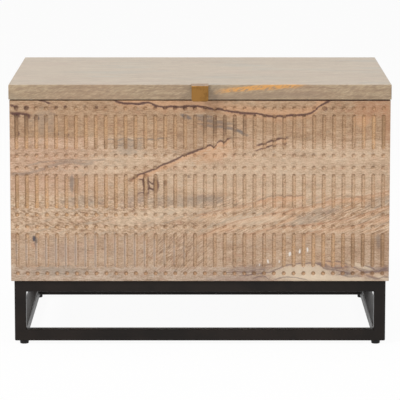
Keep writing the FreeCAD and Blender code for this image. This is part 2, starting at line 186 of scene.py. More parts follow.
def grain(tree, vector, detail=2.0, roughness=0.5, distortion=0.0):
    node = tree.nodes.new("ShaderNodeTexNoise")
    tree.links.new(vector, node.inputs["Vector"])
    node.inputs["Scale"].default_value = 1.0
    node.inputs["Detail"].default_value = detail
    node.inputs["Roughness"].default_value = roughness
    node.inputs["Distortion"].default_value = distortion
    return node.outputs[0]


def ramp(tree, value, stops):
    node = tree.nodes.new("ShaderNodeValToRGB")
    feed(tree, node.inputs[0], value)
    elements = node.color_ramp.elements
    for index, (place, colour) in enumerate(stops):
        element = elements[index] if index < 2 else elements.new(place)
        element.position = place
        element.color = colour
    return node.outputs[0]


def emboss(tree, shader, height, depth):
    node = tree.nodes.new("ShaderNodeBump")
    node.inputs["Distance"].default_value = depth
    feed(tree, node.inputs["Height"], height)
    tree.links.new(node.outputs["Normal"], shader.inputs["Normal"])


# mango wood: boards glued edge to edge, sealed with a thin clear coat

def drawn(along, length, width):  # size of a pattern that has another length along one axis, in mm
    size = {"X": width, "Y": width, "Z": width}
    size[along] = length
    return [value * mm for value in size.values()]


def even(size):  # the same size along all three
    return [size * mm] * 3


mango = {
    "dark": tone(140, 108, 80),
    "middle": tone(186, 153, 123),
    "light": tone(207, 176, 145),
    "pale": tone(222, 195, 165),
    "pink": tone(199, 152, 126),
    "grey": tone(172, 157, 139),
    "joint": tone(120, 92, 70),
    "pore": tone(142, 110, 84),
    "heart": tone(150, 112, 82),
    "line": tone(98, 72, 58),
    "boardDark": (0.84, 0.81, 0.78, 1),
    "boardMiddle": (0.98, 0.96, 0.94, 1),
    "boardLight": (1.08, 1.07, 1.05, 1),
}

mangoGrain = {  # length and width in mm, then detail, roughness and distortion of the noise
    "fibre": (12, 1.3, 4, 0.62, 0.0),
    "streak": (80, 6, 3, 0.6, 0.5),
    "figure": (420, 52, 2, 0.5, 0.5),
    "cloud": (190, 75, 2, 0.5, 0.0),
    "heart": (520, 44, 3, 0.55, 0.7),
    "pores": (9, 0.75, 1, 0.5, 0.0),
}
ringCount = 110  # how closely the rings of the figure lie
grainDepth = 0.12  # mm
boardSlide = 0.737  # every board is cut this much further along the tree, in metres


def boards(tree, spot, along, across, seam, width):
    axes = split(tree, spot)
    place = maths(tree, "DIVIDE", maths(tree, "SUBTRACT", axes[across], seam * mm), width * mm)
    number = maths(tree, "FLOOR", place)
    toss = tree.nodes.new("ShaderNodeTexWhiteNoise")
    toss.noise_dimensions = "1D"
    tree.links.new(number, toss.inputs["W"])
    slide = maths(tree, "MULTIPLY", number, boardSlide)
    moved = dict(axes)
    moved[along] = maths(tree, "ADD", axes[along], slide)
    toJoint = times(tree, maths(tree, "PINGPONG", place, 0.5), width)
    return joined(tree, *moved.values()), toss.outputs["Value"], toJoint


def mangoNoise(tree, board, along, kind):
    length, width, detail, roughness, distortion = mangoGrain[kind]
    return grain(tree, laid(tree, board, drawn(along, length, width)), detail, roughness, distortion)


def plainWood(tree, spot, along, across, seam, width, lively=1.0):
    board, chance, toJoint = boards(tree, spot, along, across, seam, width)
    fibre = mangoNoise(tree, board, along, "fibre")
    streak = mangoNoise(tree, board, along, "streak")
    figure = mangoNoise(tree, board, along, "figure")
    rings = maths(tree, "SINE", times(tree, figure, ringCount))
    cloud = mangoNoise(tree, board, along, "cloud")
    heart = mangoNoise(tree, board, along, "heart")
    level = times(tree, fibre, 0.62)
    level = maths(tree, "ADD", level, times(tree, streak, 0.38))
    level = maths(tree, "ADD", level, times(tree, rings, 0.022 + 0.014 * lively))
    stops = [(0.28, mango["dark"]), (0.47, mango["middle"]), (0.58, mango["light"]), (0.74, mango["pale"])]
    colour = ramp(tree, level, stops)
    colour = wash(tree, times(tree, fade(tree, cloud, 0.5, 0.7), 0.25), colour, mango["pink"])
    colour = wash(tree, times(tree, fade(tree, cloud, 0.48, 0.3), 0.42), colour, mango["grey"])
    colour = wash(tree, fade(tree, heart, 0.55, 0.68, 0.5 * lively), colour, mango["heart"])
    fromEdge = maths(tree, "ABSOLUTE", maths(tree, "SUBTRACT", heart, 0.57))
    edge = fade(tree, fromEdge, 0.014, 0.002, 0.5 * lively)
    colour = wash(tree, times(tree, edge, fade(tree, streak, 0.46, 0.6)), colour, mango["line"])
    tones = [(0.0, mango["boardDark"]), (0.5, mango["boardMiddle"]), (1.0, mango["boardLight"])]
    colour = wash(tree, lively, colour, ramp(tree, chance, tones), "MULTIPLY")
    pores = fade(tree, mangoNoise(tree, board, along, "pores"), 0.63, 0.74)
    colour = wash(tree, times(tree, pores, 0.5), colour, mango["pore"])
    colour = wash(tree, times(tree, fade(tree, toJoint, 0.5, 0.1), 0.5), colour, mango["joint"])
    height = maths(tree, "SUBTRACT", times(tree, fibre, 0.5), times(tree, pores, 0.6))
    return colour, fibre, height


def finishWood(tree, shader, colour, fibre, height, low, high):
    tree.links.new(colour, shader.inputs["Base Color"])
    tree.links.new(span(tree, fibre, low, high), shader.inputs["Roughness"])
    emboss(tree, shader, height, grainDepth * mm)


def makeWood(name, along, across, seam, width, cast, low=0.38, high=0.6):
    material, tree, shader, spot = openMaterial(name)
    colour, fibre, height = plainWood(tree, spot, along, across, seam, width)
    colour = wash(tree, 1.0, colour, cast, "MULTIPLY")
    finishWood(tree, shader, colour, fibre, height, low, high)
    return material


caseSeam, caseBoard = 264.1, 101.2  # a joint of the case boards, mm above the floor, and their width
backRise = 17  # the back's joints lie higher
plySeam, plySheet = 900, 2400  # one sheet, whose edges are outside the case
sideWood = makeWood("sideWood", "Y", "Z", caseSeam, caseBoard, (0.97, 0.95, 0.93, 1))
backWood = makeWood("backWood", "X", "Z", caseSeam + backRise, caseBoard, (0.95, 0.94, 0.92, 1))
plyWood = makeWood("plyWood", "X", "Y", plySeam, plySheet, (1.05, 1.03, 0.98, 1), 0.6, 0.8)


# the photograph's frame laid on the front of the case and the lid, in its pixels

photoFrame = {"size": 400, "perMetre": 576.8, "across": 200.3, "down": 345.3}


def photoPlace(tree, spot):
    axes = split(tree, spot)
    across = maths(tree, "ADD", times(tree, axes["X"], photoFrame["perMetre"]), photoFrame["across"])
    down = maths(tree, "SUBTRACT", photoFrame["down"], times(tree, axes["Z"], photoFrame["perMetre"]))
    return across, down, axes["Y"]


def drawnLine(tree, across, down, points):  # how far below a drawn line a place lies
    size = photoFrame["size"]
    part = maths(tree, "DIVIDE", across, size)
    node = tree.nodes.new("ShaderNodeFloatCurve")
    tree.links.new(part, node.inputs["Value"])
    curve = node.mapping.curves[0]
    marks = [(x / size, y / size) for x, y in points]
    curve.points[0].location = marks[0]
    curve.points[1].location = marks[-1]
    for x, y in marks[1:-1]:
        curve.points.new(x, y)
    node.mapping.update()
    return maths(tree, "SUBTRACT", down, times(tree, node.outputs[0], size))


def between(tree, value, low, high, soft):
    return times(tree, fade(tree, value, low - soft, low + soft), fade(tree, value, high + soft, high - soft))


# a soft oval frayed by the grain, with a place given as across, down and 1
def stain(tree, place, ragged, middle, size, turn=0.0, strength=1.0, rim=0.42):
    cosine, sine = math.cos(math.radians(turn)), math.sin(math.radians(turn))
    x, y = middle
    long, short = size
    along = dotted(tree, place, (cosine / long, sine / long, -(x * cosine + y * sine) / long))
    over = dotted(tree, place, (-sine / short, cosine / short, (x * sine - y * cosine) / short))
    reach = maths(tree, "MULTIPLY_ADD", along, along, maths(tree, "MULTIPLY_ADD", over, over, ragged))
    return fade(tree, reach, 1 + 2 * rim, 1 - 2 * rim, strength)


strokeLook = {"deep": 4, "detail": 3, "roughness": 0.62, "distortion": 0.2}


def strokes(tree, spot, turn, length, width):  # short marks of the grain, turned in the plane of the front
    marks = laid(tree, spot, (length * mm, strokeLook["deep"] * mm, width * mm), (0, turn, 0))
    return grain(tree, marks, strokeLook["detail"], strokeLook["roughness"], strokeLook["distortion"])


# lid: olive tan wood with a yellow streak along the front edge, and a painted sheen on its top

lidLook = {
    "cast": (0.72, 0.76, 0.71, 1),
    # painted sheen: the top is washed lighter and cooler than the front, standing in for its grazing
    # reflection
    "paintedSheenTopCast": (1.1, 1.2, 1.35, 1),
    "streak": tone(214, 152, 74),
    "shade": tone(140, 117, 95),
    "light": tone(196, 172, 142),
    "boards": (8.0, 91.4),  # a joint and the width, mm
    "lively": 0.3,
    "roughness": (0.3, 0.44),
    "gloss": 0.9,
    "curl": (-28, 11, 1.6),  # turn in degrees, length and width in mm
    "fleck": (0, 2.6, 1.8),
    "frontEdge": (-0.2185, -0.22),  # metres
    "paintedLightEdge": (82.3, 81.8),  # from here on in the photograph's pixels
    "streakLine": [(205, 92), (222, 88.5), (245, 85.5), (275, 84), (300, 82), (320, 80)],
    "streakEnds": (222, 300, 12),  # left, right, softness
    "shadeLine": [(205, 94), (225, 93.5), (250, 92.5), (290, 91), (320, 90)],
    "shadeEnds": (205, 320, 18),
}


def makeLidWood():
    material, tree, shader, spot = openMaterial("lidWood")
    colour, fibre, height = plainWood(tree, spot, "X", "Y", *lidLook["boards"], lidLook["lively"])
    colour = wash(tree, 1.0, colour, lidLook["cast"], "MULTIPLY")
    across, down, depth = photoPlace(tree, spot)
    atFront = fade(tree, depth, *lidLook["frontEdge"])
    curl = strokes(tree, spot, *lidLook["curl"])
    fleck = strokes(tree, spot, *lidLook["fleck"])
    mark = total(tree, times(tree, curl, 0.75), times(tree, fleck, 0.25))
    colour = wash(tree, times(tree, fade(tree, mark, 0.52, 0.4), atFront, 0.55), colour, lidLook["shade"])
    colour = wash(tree, times(tree, fade(tree, mark, 0.52, 0.62), atFront, 0.4), colour, lidLook["light"])
    wobble = swing(tree, grain(tree, laid(tree, spot, drawn("X", 30, 6)), 3, 0.6), 5)
    sunk = maths(tree, "ADD", down, wobble)
    below = drawnLine(tree, across, sunk, lidLook["streakLine"])
    streak = between(tree, below, -2, 2.2, 1.2)
    streak = times(tree, streak, between(tree, across, *lidLook["streakEnds"]), atFront)
    colour = wash(tree, times(tree, streak, fade(tree, curl, 0.36, 0.5)), colour, lidLook["streak"])
    below = drawnLine(tree, across, sunk, lidLook["shadeLine"])
    shadow = between(tree, below, -1.5, 4, 1.5)
    shadow = times(tree, shadow, between(tree, across, *lidLook["shadeEnds"]), atFront)
    colour = wash(tree, times(tree, shadow, 0.5), colour, lidLook["shade"])
    # painted sheen: the lid's top is washed lighter and cooler than its front
    colour = wash(tree, fade(tree, down, *lidLook["paintedLightEdge"]), colour, lidLook["paintedSheenTopCast"], "MULTIPLY")
    finishWood(tree, shader, colour, fibre, height, *lidLook["roughness"])
    shader.inputs["Specular IOR Level"].default_value = lidLook["gloss"]
    return material


lidWood = makeLidWood()


# carved front: three boards with spalt lines, grey stain and curly grain

spalt = {
    "dark": tone(84, 50, 42),
    # fresh wood, also painted light on the floors of the low dots against their shade
    "fresh": tone(226, 180, 142),
    "violet": tone(112, 88, 84),
    "peach": tone(216, 164, 124),
    "brown": tone(142, 106, 78),
    "grey": tone(150, 138, 126),
    "slate": tone(108, 101, 97),
    "navy": tone(62, 58, 68),
    "cream": tone(224, 204, 178),
    "purple": tone(156, 132, 122),
    "rust": tone(176, 122, 88),
    "white": tone(240, 236, 230),
    "golden": tone(224, 180, 132),
    # router burn and painted shade on the walls of the cuts
    "wall": tone(138, 104, 76),
    "umber": tone(104, 76, 54),
    "dust": tone(212, 199, 188),
}

spaltLines = {  # points in the photograph's pixels, the core, and the glow that some have below or above
    "underLid": {
        "points": [
            (113, 97.5), (122, 99.5), (130, 100.8), (140, 100.6), (150, 100.4), (158, 103.3), (165, 104.4),
            (172, 103.7), (180, 104.3), (190, 103.2), (200, 103.8), (207, 105.2), (214, 106.4), (222, 106.9),
            (230, 108.6), (240, 109.8), (250, 110.6), (260, 111.5), (268, 113), (280, 113.5), (292, 112.6),
            (303, 112), (310, 110.4), (315, 107), (320, 103.2), (326, 99.6), (332, 97.5),
        ],
        "paint": "dark", "width": 1.9, "strength": 0.95, "below": 0.35, "above": 0.45,
    },
    "diagonal": {
        "points": [
            (131, 178), (139, 172.3), (145, 170.3), (151, 168), (158, 165.2), (164, 162), (170, 159.5),
            (176, 157), (182, 153.5), (187, 151.5), (193, 149.6), (198, 147.6), (203, 145.8), (207, 143.6),
            (211, 142.8), (214, 144.2), (217, 140.4), (221, 138.2), (224, 139.4), (227, 136.8), (232, 134.6),
        ],
        "paint": "dark", "width": 2, "strength": 0.9, "below": 0.6,
    },
    "leftCorner": {
        "points": [(9, 109), (14, 110.8), (20, 110.6), (26, 111.6), (34, 112.8)],
        "paint": "dark", "width": 2.3, "strength": 0.95,
    },
    "leftEdge": {
        "points": [(9, 102), (13, 102.8), (16, 103.8), (20, 104)],
        "paint": "dark", "width": 1.7, "strength": 0.9,
    },
    "leftTop": {
        "points": [(38, 97), (44, 98), (49, 100), (54, 101)],
        "paint": "dark", "width": 1.7, "strength": 0.9,
    },
    "boardJoint": {
        "points": [(8, 134.6), (30, 134.5), (60, 134.7), (88, 134.6)],
        "paint": "brown", "width": 0.8, "strength": 0.55,
    },
    "scribbleOne": {
        "points": [
            (105, 138), (112, 136.2), (119, 137.6), (126, 135.4), (133, 137.2), (140, 135.6), (150, 136.6),
            (168, 134.6),
        ],
        "paint": "slate", "width": 0.9, "strength": 0.65,
    },
    "scribbleTwo": {
        "points": [(115, 141), (121, 143), (126, 140), (131, 144), (136, 141), (142, 143)],
        "paint": "slate", "width": 0.8, "strength": 0.5,
    },
    "dashUpper": {
        "points": [
            (255, 143), (258, 142.4), (263, 141), (269, 139), (276, 136.8), (283, 135.2), (290, 134.8),
        ],
        "paint": "dark", "width": 1.9, "strength": 0.9, "below": 0.3,
    },
    "dashLower": {
        "points": [(254, 148), (258, 147.2), (262, 146), (267, 144.8)],
        "paint": "dark", "width": 1.4, "strength": 0.85,
    },
    "dashLast": {
        "points": [(263, 145.2), (268, 144.2), (274, 142.8), (279, 141.8)],
        "paint": "dark", "width": 1.6, "strength": 0.9,
    },
    "greyCurve": {
        "points": [
            (10, 171.6), (22, 171.2), (31, 170.5), (40, 167.4), (48, 165), (55, 162.4), (62, 160.5),
            (70, 159.5), (77, 160), (84, 161.4), (96, 160),
        ],
        "paint": "slate", "width": 3, "strength": 0.4,
    },
    "greyStrand": {
        "points": [(26, 163.6), (36, 161), (46, 159), (56, 158), (68, 157.2), (92, 158.2), (108, 156.6)],
        "paint": "slate", "width": 1.4, "strength": 0.35,
    },
    "paleArc": {
        "points": [(12, 164), (26, 158.8), (40, 155.4), (54, 153.4), (70, 152.4)],
        "paint": "brown", "width": 1.0, "strength": 0.3,
    },
    "slotDashOne": {
        "points": [(137, 176.6), (141, 177.2), (146, 177.6)],
        "paint": "dark", "width": 1.3, "strength": 0.9,
    },
    "slotDashTwo": {
        "points": [(136, 192.6), (140, 191.2), (146, 190.2)],
        "paint": "dark", "width": 1.2, "strength": 0.8,
    },
    "slotDashThree": {
        "points": [(146, 177), (149, 178.6), (152, 180.8), (157, 181.4)],
        "paint": "dark", "width": 1.7, "strength": 0.95,
    },
    "slotDashFour": {
        "points": [(146, 188), (150, 185.4), (153, 186.8), (158, 186.6)],
        "paint": "dark", "width": 1.9, "strength": 0.95,
    },
    "creamRim": {
        "points": [
            (238, 274.4), (252, 273.6), (263, 272.4), (272, 270.4), (278, 267.7), (287, 264.5),
            (296, 262.7), (305.5, 262), (314.5, 262), (319, 263.2), (324, 266.4), (330, 267.8),
            (340, 270), (352, 273),
        ],
        "paint": "violet", "width": 1.3, "strength": 0.7,
    },
    "creamFoot": {
        "points": [(252, 278.6), (260, 276), (265.5, 275.5), (268.6, 278.4), (272, 281)],
        "paint": "violet", "width": 1.2, "strength": 0.7,
    },
    "creamLow": {
        "points": [(273, 280), (277, 278), (284, 276.4), (293, 276.2), (301, 277.2), (310, 279.8)],
        "paint": "violet", "width": 1.1, "strength": 0.6,
    },
    "footLineOne": {
        "points": [(349, 263.6), (356.4, 266.8), (362.7, 270.4), (369, 271), (377, 270.4), (392, 269)],
        "paint": "violet", "width": 1.3, "strength": 0.62, "below": 0.2,
    },
    "footLineTwo": {
        "points": [(363, 264.2), (372.7, 266.8), (378, 270.2), (383, 268.4), (392, 266.6)],
        "paint": "violet", "width": 1.3, "strength": 0.62,
    },
    "footLineThree": {
        "points": [(365, 273.4), (373.6, 276.6), (378, 277.6), (385.5, 276), (392, 277.4)],
        "paint": "violet", "width": 1.3, "strength": 0.62,
    },
    "footLineFour": {
        "points": [(325, 259.4), (331.5, 260.4), (338, 260), (345, 262.2), (350, 264)],
        "paint": "violet", "width": 1.3, "strength": 0.62, "below": 0.3,
    },
    "footLineFive": {
        "points": [(328, 264.4), (333, 266.6), (339, 267.2), (346, 265.6), (352, 266.4)],
        "paint": "violet", "width": 1.3, "strength": 0.62,
    },
    "footLineSix": {
        "points": [(336, 275), (343, 273.6), (350, 276.2), (358, 275), (364, 276.6)],
        "paint": "violet", "width": 1.1, "strength": 0.5,
    },
    "footLineSeven": {
        "points": [(224, 272.6), (236, 270.4), (248, 270.8), (258, 268.6), (268, 269.4)],
        "paint": "violet", "width": 1.1, "strength": 0.5,
    },
    "risingOne": {
        "points": [
            (196, 236), (215, 228), (232, 221), (262, 214), (300, 206.5), (330, 199), (362, 194), (392, 188),
        ],
        "paint": "rust", "width": 1.2, "strength": 0.5, "below": 0.25,
    },
    "risingTwo": {
        "points": [(198, 213), (222, 208), (244, 203), (264, 197.5), (284, 195), (304, 193)],
        "paint": "rust", "width": 1.2, "strength": 0.5, "below": 0.25,
    },
    "risingThree": {
        "points": [(244, 234), (270, 227), (300, 224), (326, 221), (352, 216), (378, 207), (392, 203)],
        "paint": "rust", "width": 1.1, "strength": 0.5, "below": 0.2,
    },
    "risingFour": {
        "points": [(300, 233), (322, 229), (340, 226.4), (362, 222), (380, 217), (392, 213)],
        "paint": "rust", "width": 1.0, "strength": 0.45, "below": 0.2,
    },
    "risingFive": {
        "points": [(256, 199), (266, 195), (278, 193), (292, 193.6), (306, 192.4)],
        "paint": "dark", "width": 1, "strength": 0.4, "below": 0.3,
    },
    "risingSix": {
        "points": [(326, 197.6), (332, 194.8), (340, 193.6), (352, 194.4), (364, 196), (380, 199)],
        "paint": "brown", "width": 1.5, "strength": 0.45, "below": 0.2,
    },
}
lineEnds = {"inset": 2, "soft": 2.5}
glowReach = {  # how far from the line a glow begins and where it ends
    "below": ((0.4, 1.6), (7, 1.5)),
    "above": ((-0.4, -1.6), (-10, -3)),
}

stains = {  # middle, half size, turn in degrees, colour, strength
    "dotOne": ((18, 105), (2.6, 2.6), 0, "dark", 0.7),
    "dotTwo": ((27.6, 105.3), (2.5, 2.5), 0, "dark", 0.95),
    "dotThree": ((57.4, 104.4), (1.8, 1.3), -20, "dark", 0.7),
    "dotFour": ((97, 104.4), (1.8, 1.4), -20, "dark", 0.75),
    "dotFourLeft": ((67, 104.4), (1.8, 1.4), -20, "dark", 0.75),
    "dotFive": ((155.9, 104.8), (2.1, 1.8), 0, "dark", 0.75),
    "dotSix": ((165.8, 105), (2.2, 2.2), 0, "dark", 0.85),
    "dotSeven": ((175.7, 105.4), (2.2, 2.2), 0, "dark", 0.9),
    "dotEight": ((185.5, 105.2), (2.2, 2.2), 0, "dark", 0.8),
    "dotNine": ((195.4, 105.4), (2.2, 2.2), 0, "dark", 0.8),
    "knotOne": ((18, 112), (3, 2.6), 0, "dark", 0.85),
    "knotTwo": ((27.8, 114), (2.9, 2.6), 0, "dark", 0.85),
    "knotThree": ((37.6, 114.9), (2.6, 2.9), 0, "dark", 0.95),
    "knotFour": ((47.2, 116.2), (1.9, 3), 0, "navy", 0.9),
    "slotOne": ((17.4, 122), (2.2, 12), 0, "dark", 0.4),
    "slotTwo": ((27.4, 123), (2, 11), 0, "dark", 0.35),
    "spotOne": ((18, 130.6), (2.4, 2.8), 0, "dark", 0.85),
    "spotTwo": ((57.3, 131.2), (2.3, 2.3), 0, "dark", 0.8),
    "spotThree": ((67.3, 132), (2.3, 2), 0, "dark", 0.75),
    "spotFour": ((284.5, 140.2), (1.9, 1.4), -15, "dark", 0.9),
    "spotFive": ((137.5, 105.5), (2, 1.6), 0, "slate", 0.4),
    "greyLeft": ((46, 119), (12, 12), 10, "grey", 0.3),
    "greyUnderLid": ((139, 100.8), (9, 1.2), 0, "slate", 0.6),
    "greyUnderLine": ((186, 113.6), (6, 2), 20, "slate", 0.75),
    "greyTop": ((204, 113.6), (10, 1.6), 6, "slate", 0.55),
    "greyWedge": ((216, 119), (18, 1.8), 8, "slate", 0.6),
    "greyWedgeLow": ((214, 123.4), (14, 1.5), 8, "slate", 0.65),
    "greyWedgeFoot": ((232, 126), (12, 1.6), 16, "slate", 0.6),
    "greyWedgeTip": ((242, 130), (7, 1.6), 24, "slate", 0.7),
    "greyScribble": ((128, 144), (14, 8), -8, "grey", 0.45),
    "aboveDiagonal": ((192, 136), (32, 11), -22, "brown", 0.3),
    "lightMiddle": ((112, 161), (36, 9), -12, "cream", 0.2),
    "lightBelow": ((196, 178), (40, 16), -8, "cream", 0.18),
    "lightRight": ((310, 172), (84, 26), -4, "cream", 0.16),
    "peachBelow": ((216, 152), (20, 6), -22, "peach", 0.35),
    "smudge": ((72.4, 181), (1.7, 9), 2, "slate", 0.6),
    "smudgeSlot": ((77.2, 181), (1.9, 8), 0, "umber", 0.6),
    "diagonalFoot": ((132.5, 177.4), (4.2, 2.4), -24, "brown", 0.85),
    "slotTop": ((146.2, 172.8), (2.4, 1.6), 0, "dark", 0.9),
    "slotFoot": ((146.5, 191), (2.4, 1.6), 0, "dark", 0.9),
    "slotWallLeft": ((144.3, 182), (1, 10), 0, "dark", 0.9),
    "slotWallRight": ((148.5, 182), (0.9, 9), 0, "dark", 0.75),
    "ringOuter": ((156.2, 182), (3, 7.4), 0, "dark", 0.95),
    "ringInner": ((156.3, 182.2), (1.5, 5.2), 0, "brown", 0.75),
    "scribbleBlot": ((165.8, 180), (2, 3.2), 0, "dark", 0.95),
    "scribbleTail": ((166, 185), (1.6, 4), 0, "slate", 0.4),
    "fleckOne": ((189, 174), (1.4, 1.4), 0, "dark", 0.5),
    "fleckTwo": ((107, 205.4), (1.2, 1), 0, "dark", 0.5),
    "fleckThree": ((303, 107.4), (1.8, 1.8), 0, "dark", 0.5),
    "fleckFour": ((315, 105.4), (2.3, 2), 0, "dark", 0.8),
    "fleckFive": ((324.6, 105.6), (2.2, 2.2), 0, "dark", 0.8),
    "greyBand": ((184, 199), (44, 6), 0, "grey", 0.4),
    "greyBandLow": ((208, 196), (18, 3.2), 0, "slate", 0.25),
    "greyFoot": ((135, 198), (14, 7), -25, "purple", 0.35),
    "greySoft": ((82, 199), (22, 5), 0, "grey", 0.4),
    "paleDrift": ((150, 215), (40, 6), -10, "cream", 0.3),
    "creamDrift": ((252, 218), (26, 5), -10, "cream", 0.4),
    "greyRight": ((316, 214), (24, 6), -18, "grey", 0.35),
    "greyRightEdge": ((378, 200), (14, 6), -20, "grey", 0.35),
    "blueKnot": ((34.9, 237.2), (2.2, 2.8), 0, "navy", 1),
    "blueKnotTail": ((35.2, 240.8), (1.5, 2.6), 0, "navy", 0.6),
    "pinkKnot": ((34, 243.6), (3, 3.6), 0, "rust", 0.3),
    "purpleLowLeft": ((66, 252), (22, 10), 0, "purple", 0.25),
    "purpleFootLeft": ((58, 269), (24, 5), 0, "grey", 0.45),
    "purpleFootMiddle": ((252, 267.6), (22, 4.6), -6, "violet", 0.4),
    "purpleFootLow": ((236, 278), (30, 3), 0, "purple", 0.4),
    "creamPatch": ((302, 272), (28, 8.6), 0, "cream", 0.7),
    "creamTail": ((336, 278), (34, 4), 3, "cream", 0.6),
    "purpleWedge": ((324, 263.6), (6, 2), 18, "violet", 0.75),
    "purpleFootRight": ((341, 266), (9, 3.4), 10, "violet", 0.35),
    "purpleDot": ((347, 272.4), (5, 3), 0, "slate", 0.5),
    "purpleEdge": ((376, 269), (14, 3), -6, "violet", 0.4),
    "purpleCorner": ((386, 268), (5, 5), 0, "violet", 0.4),
    "creamStripe": ((362, 265), (12, 1.8), 18, "cream", 0.6),
    "creamCorner": ((382, 276), (8, 2.2), 20, "cream", 0.55),
    "dotFootOne": ((353.4, 272), (2, 2), 0, "dark", 0.45),
    "dotFootTwo": ((363.2, 272), (2, 2), 0, "dark", 0.45),
    "dotFootThree": ((254, 272), (2, 2), 0, "dark", 0.45),
    "dotFootFour": ((264, 272.4), (1.8, 1.8), 0, "dark", 0.4),
    "rightRust": ((372, 106), (20, 8), 0, "rust", 0.45),
    "rightRustLow": ((362, 118), (8, 6), 0, "peach", 0.4),
    "rightRustEdge": ((387, 124), (5, 18), 0, "rust", 0.4),
    "rightDark": ((382, 246), (7, 18), 0, "brown", 0.5),
    "rightSlate": ((379, 240), (2.4, 7), 0, "slate", 0.4),
    "rightSlateLow": ((383, 252), (2, 4), 0, "slate", 0.5),
    "speckOne": ((260, 263.5), (0.9, 1.3), 0, "white", 0.45),
    "speckTwo": ((268.6, 260), (0.8, 1.8), 0, "white", 0.7),
    "speckThree": ((279.6, 260.2), (0.9, 1.5), 0, "white", 0.5),
    "speckFour": ((290.4, 252.6), (0.8, 2.4), 0, "white", 0.75),
    "speckFive": ((299.8, 249.8), (0.9, 2.3), 0, "white", 0.75),
    "speckSix": ((308, 248.2), (0.9, 2.3), 0, "white", 0.75),
}

scribbles = {  # middle, half size, strength
    "wavyLeft": ((62, 214), (52, 12), 0.3),
    "wavyMiddle": ((160, 222), (40, 10), 0.25),
    "lowMiddle": ((210, 246), (40, 16), 0.2),
    "footRight": ((356, 270), (36, 7), 0.5),
    "footMiddle": ((240, 272), (30, 6), 0.35),
}

goldenSpots = {  # where the cuts are most golden: middle, half size, strength
    "leftEdge": ((20, 178), (26, 44), 0.4),
    "topLeft": ((70, 128), (60, 22), 0.25),
    "topMiddle": ((150, 128), (50, 22), 0.2),
    "rightTop": ((382, 124), (20, 26), 0.6),
    "middleLeft": ((100, 194), (70, 20), 0.3),
    "rightLow": ((346, 248), (60, 20), 0.4),
    "foot": ((200, 272), (210, 5), 0.5),
    "leftDots": ((56, 218), (62, 13), 0.8),
}

darkCuts = {  # where they are stained dark
    "wedge": ((224, 122), (28, 9), 0.55),
    "leftCorner": ((20, 122), (12, 14), 0.4),
    "topMiddle": ((118, 142), (28, 8), 0.35),
    "middleFoot": ((150, 196), (70, 8), 0.2),
    "middleLeft": ((20, 190), (16, 14), 0.3),
    "rightTop": ((384, 128), (8, 18), 0.5),
    "rightLow": ((368, 250), (26, 16), 0.5),
    "footMiddle": ((200, 272), (210, 5), 0.2),
    "footRight": ((368, 272), (28, 5), 0.5),
    "footSpot": ((255, 272), (9, 5), 0.5),
}

dustyCuts = {"middle": (96, 250), "size": (86, 16), "strength": 0.55, "aside": 1.1, "half": 1.7, "core": 0.6}

frontGrain = {  # turn in degrees, length and width in mm
    "straight": (2, 10, 1.4),
    "climbing": (-24, 15, 2.0),
    "curly": (9, 7, 2.6),
    "hatched": (-42, 14, 2.0),
    "fleck": (0, 2.6, 1.8),
    "drift": (-20, 60, 7),
    "pores": (0, 6, 0.8),
}

frontZones = {  # where a look begins and where it is full, in the photograph's pixels
    "lowerTop": (187, 198),
    "lowerFoot": (240, 228),
    "climbRight": (180, 220),
    "curlLeft": (210, 180),
    "aboveJoint": (135.1, 134.2),
    "belowJoint": (134.2, 135.1),
    "softRight": (70, 120),
    "softJoint": (146, 126),
    "lowerBoard": (226, 240),
    "foot": (262, 270),
    "pinkLeft": (130, 60),
    "pinkFoot": (196, 186),
    "upperDots": (266, 262),
    "lowDots": (262, 266),
    # the next two: painted shade in the gap under the lid, along the panel's top edge towards the right
    "paintedLightEdge": (98.6, 97.9),
    "gapShadeRight": (205, 285),
    "dots": (18.5, 20.5),  # these two from the middle of a row
    "slots": (20, 18),
}
hatch = {"middle": (178, 252), "size": (40, 22)}

woodStops = [
    (0.2, tone(140, 108, 80)),
    (0.42, tone(182, 150, 121)),
    (0.56, tone(202, 172, 143)),
    (0.8, tone(222, 196, 168)),
]
boardCast = {
    "upper": (0.79, 0.73, 0.66, 1),
    "lower": (0.88, 0.87, 0.88, 1),
    "foot": (0.98, 1.05, 1.15, 1),
    "pinkish": (0.97, 0.92, 0.93, 1),
}
frontRoughness = (0.42, 0.62)
broadStain = 4  # stains with a larger half size are frayed more

carving = {  # mm
    "columns": 38,
    "rows": 3,
    "pitch": 17.13,
    "rowPitch": 103.4,
    "middle": 271.0,
    "face": -219.15,
    "halfWidth": 328.5,
    "low": 113.0,
    "high": 429.0,
    "thickness": 18.0,
    "rebate": 9.0,
    "rebateTop": 125.0,
    "slotRadius": 3.7,
    "slotReach": 27.0,
    "slotSides": 16,
    "slotSteps": [(0.25, 0.15), (0.2, 1.0), (0.15, 2.1), (0.5, 2.5)],  # each ring: narrower by, depth
    "dotRadius": 4.1,
    "dotOffset": 41.0,
    "dotSides": 12,
    "dotSteps": [(0.3, 0.15), (0.4, 1.1), (0.7, 1.9), (1.2, 2.35)],
    "deep": 2.5,
    "edge": 0.5,
    "crease": 28,  # degrees
}


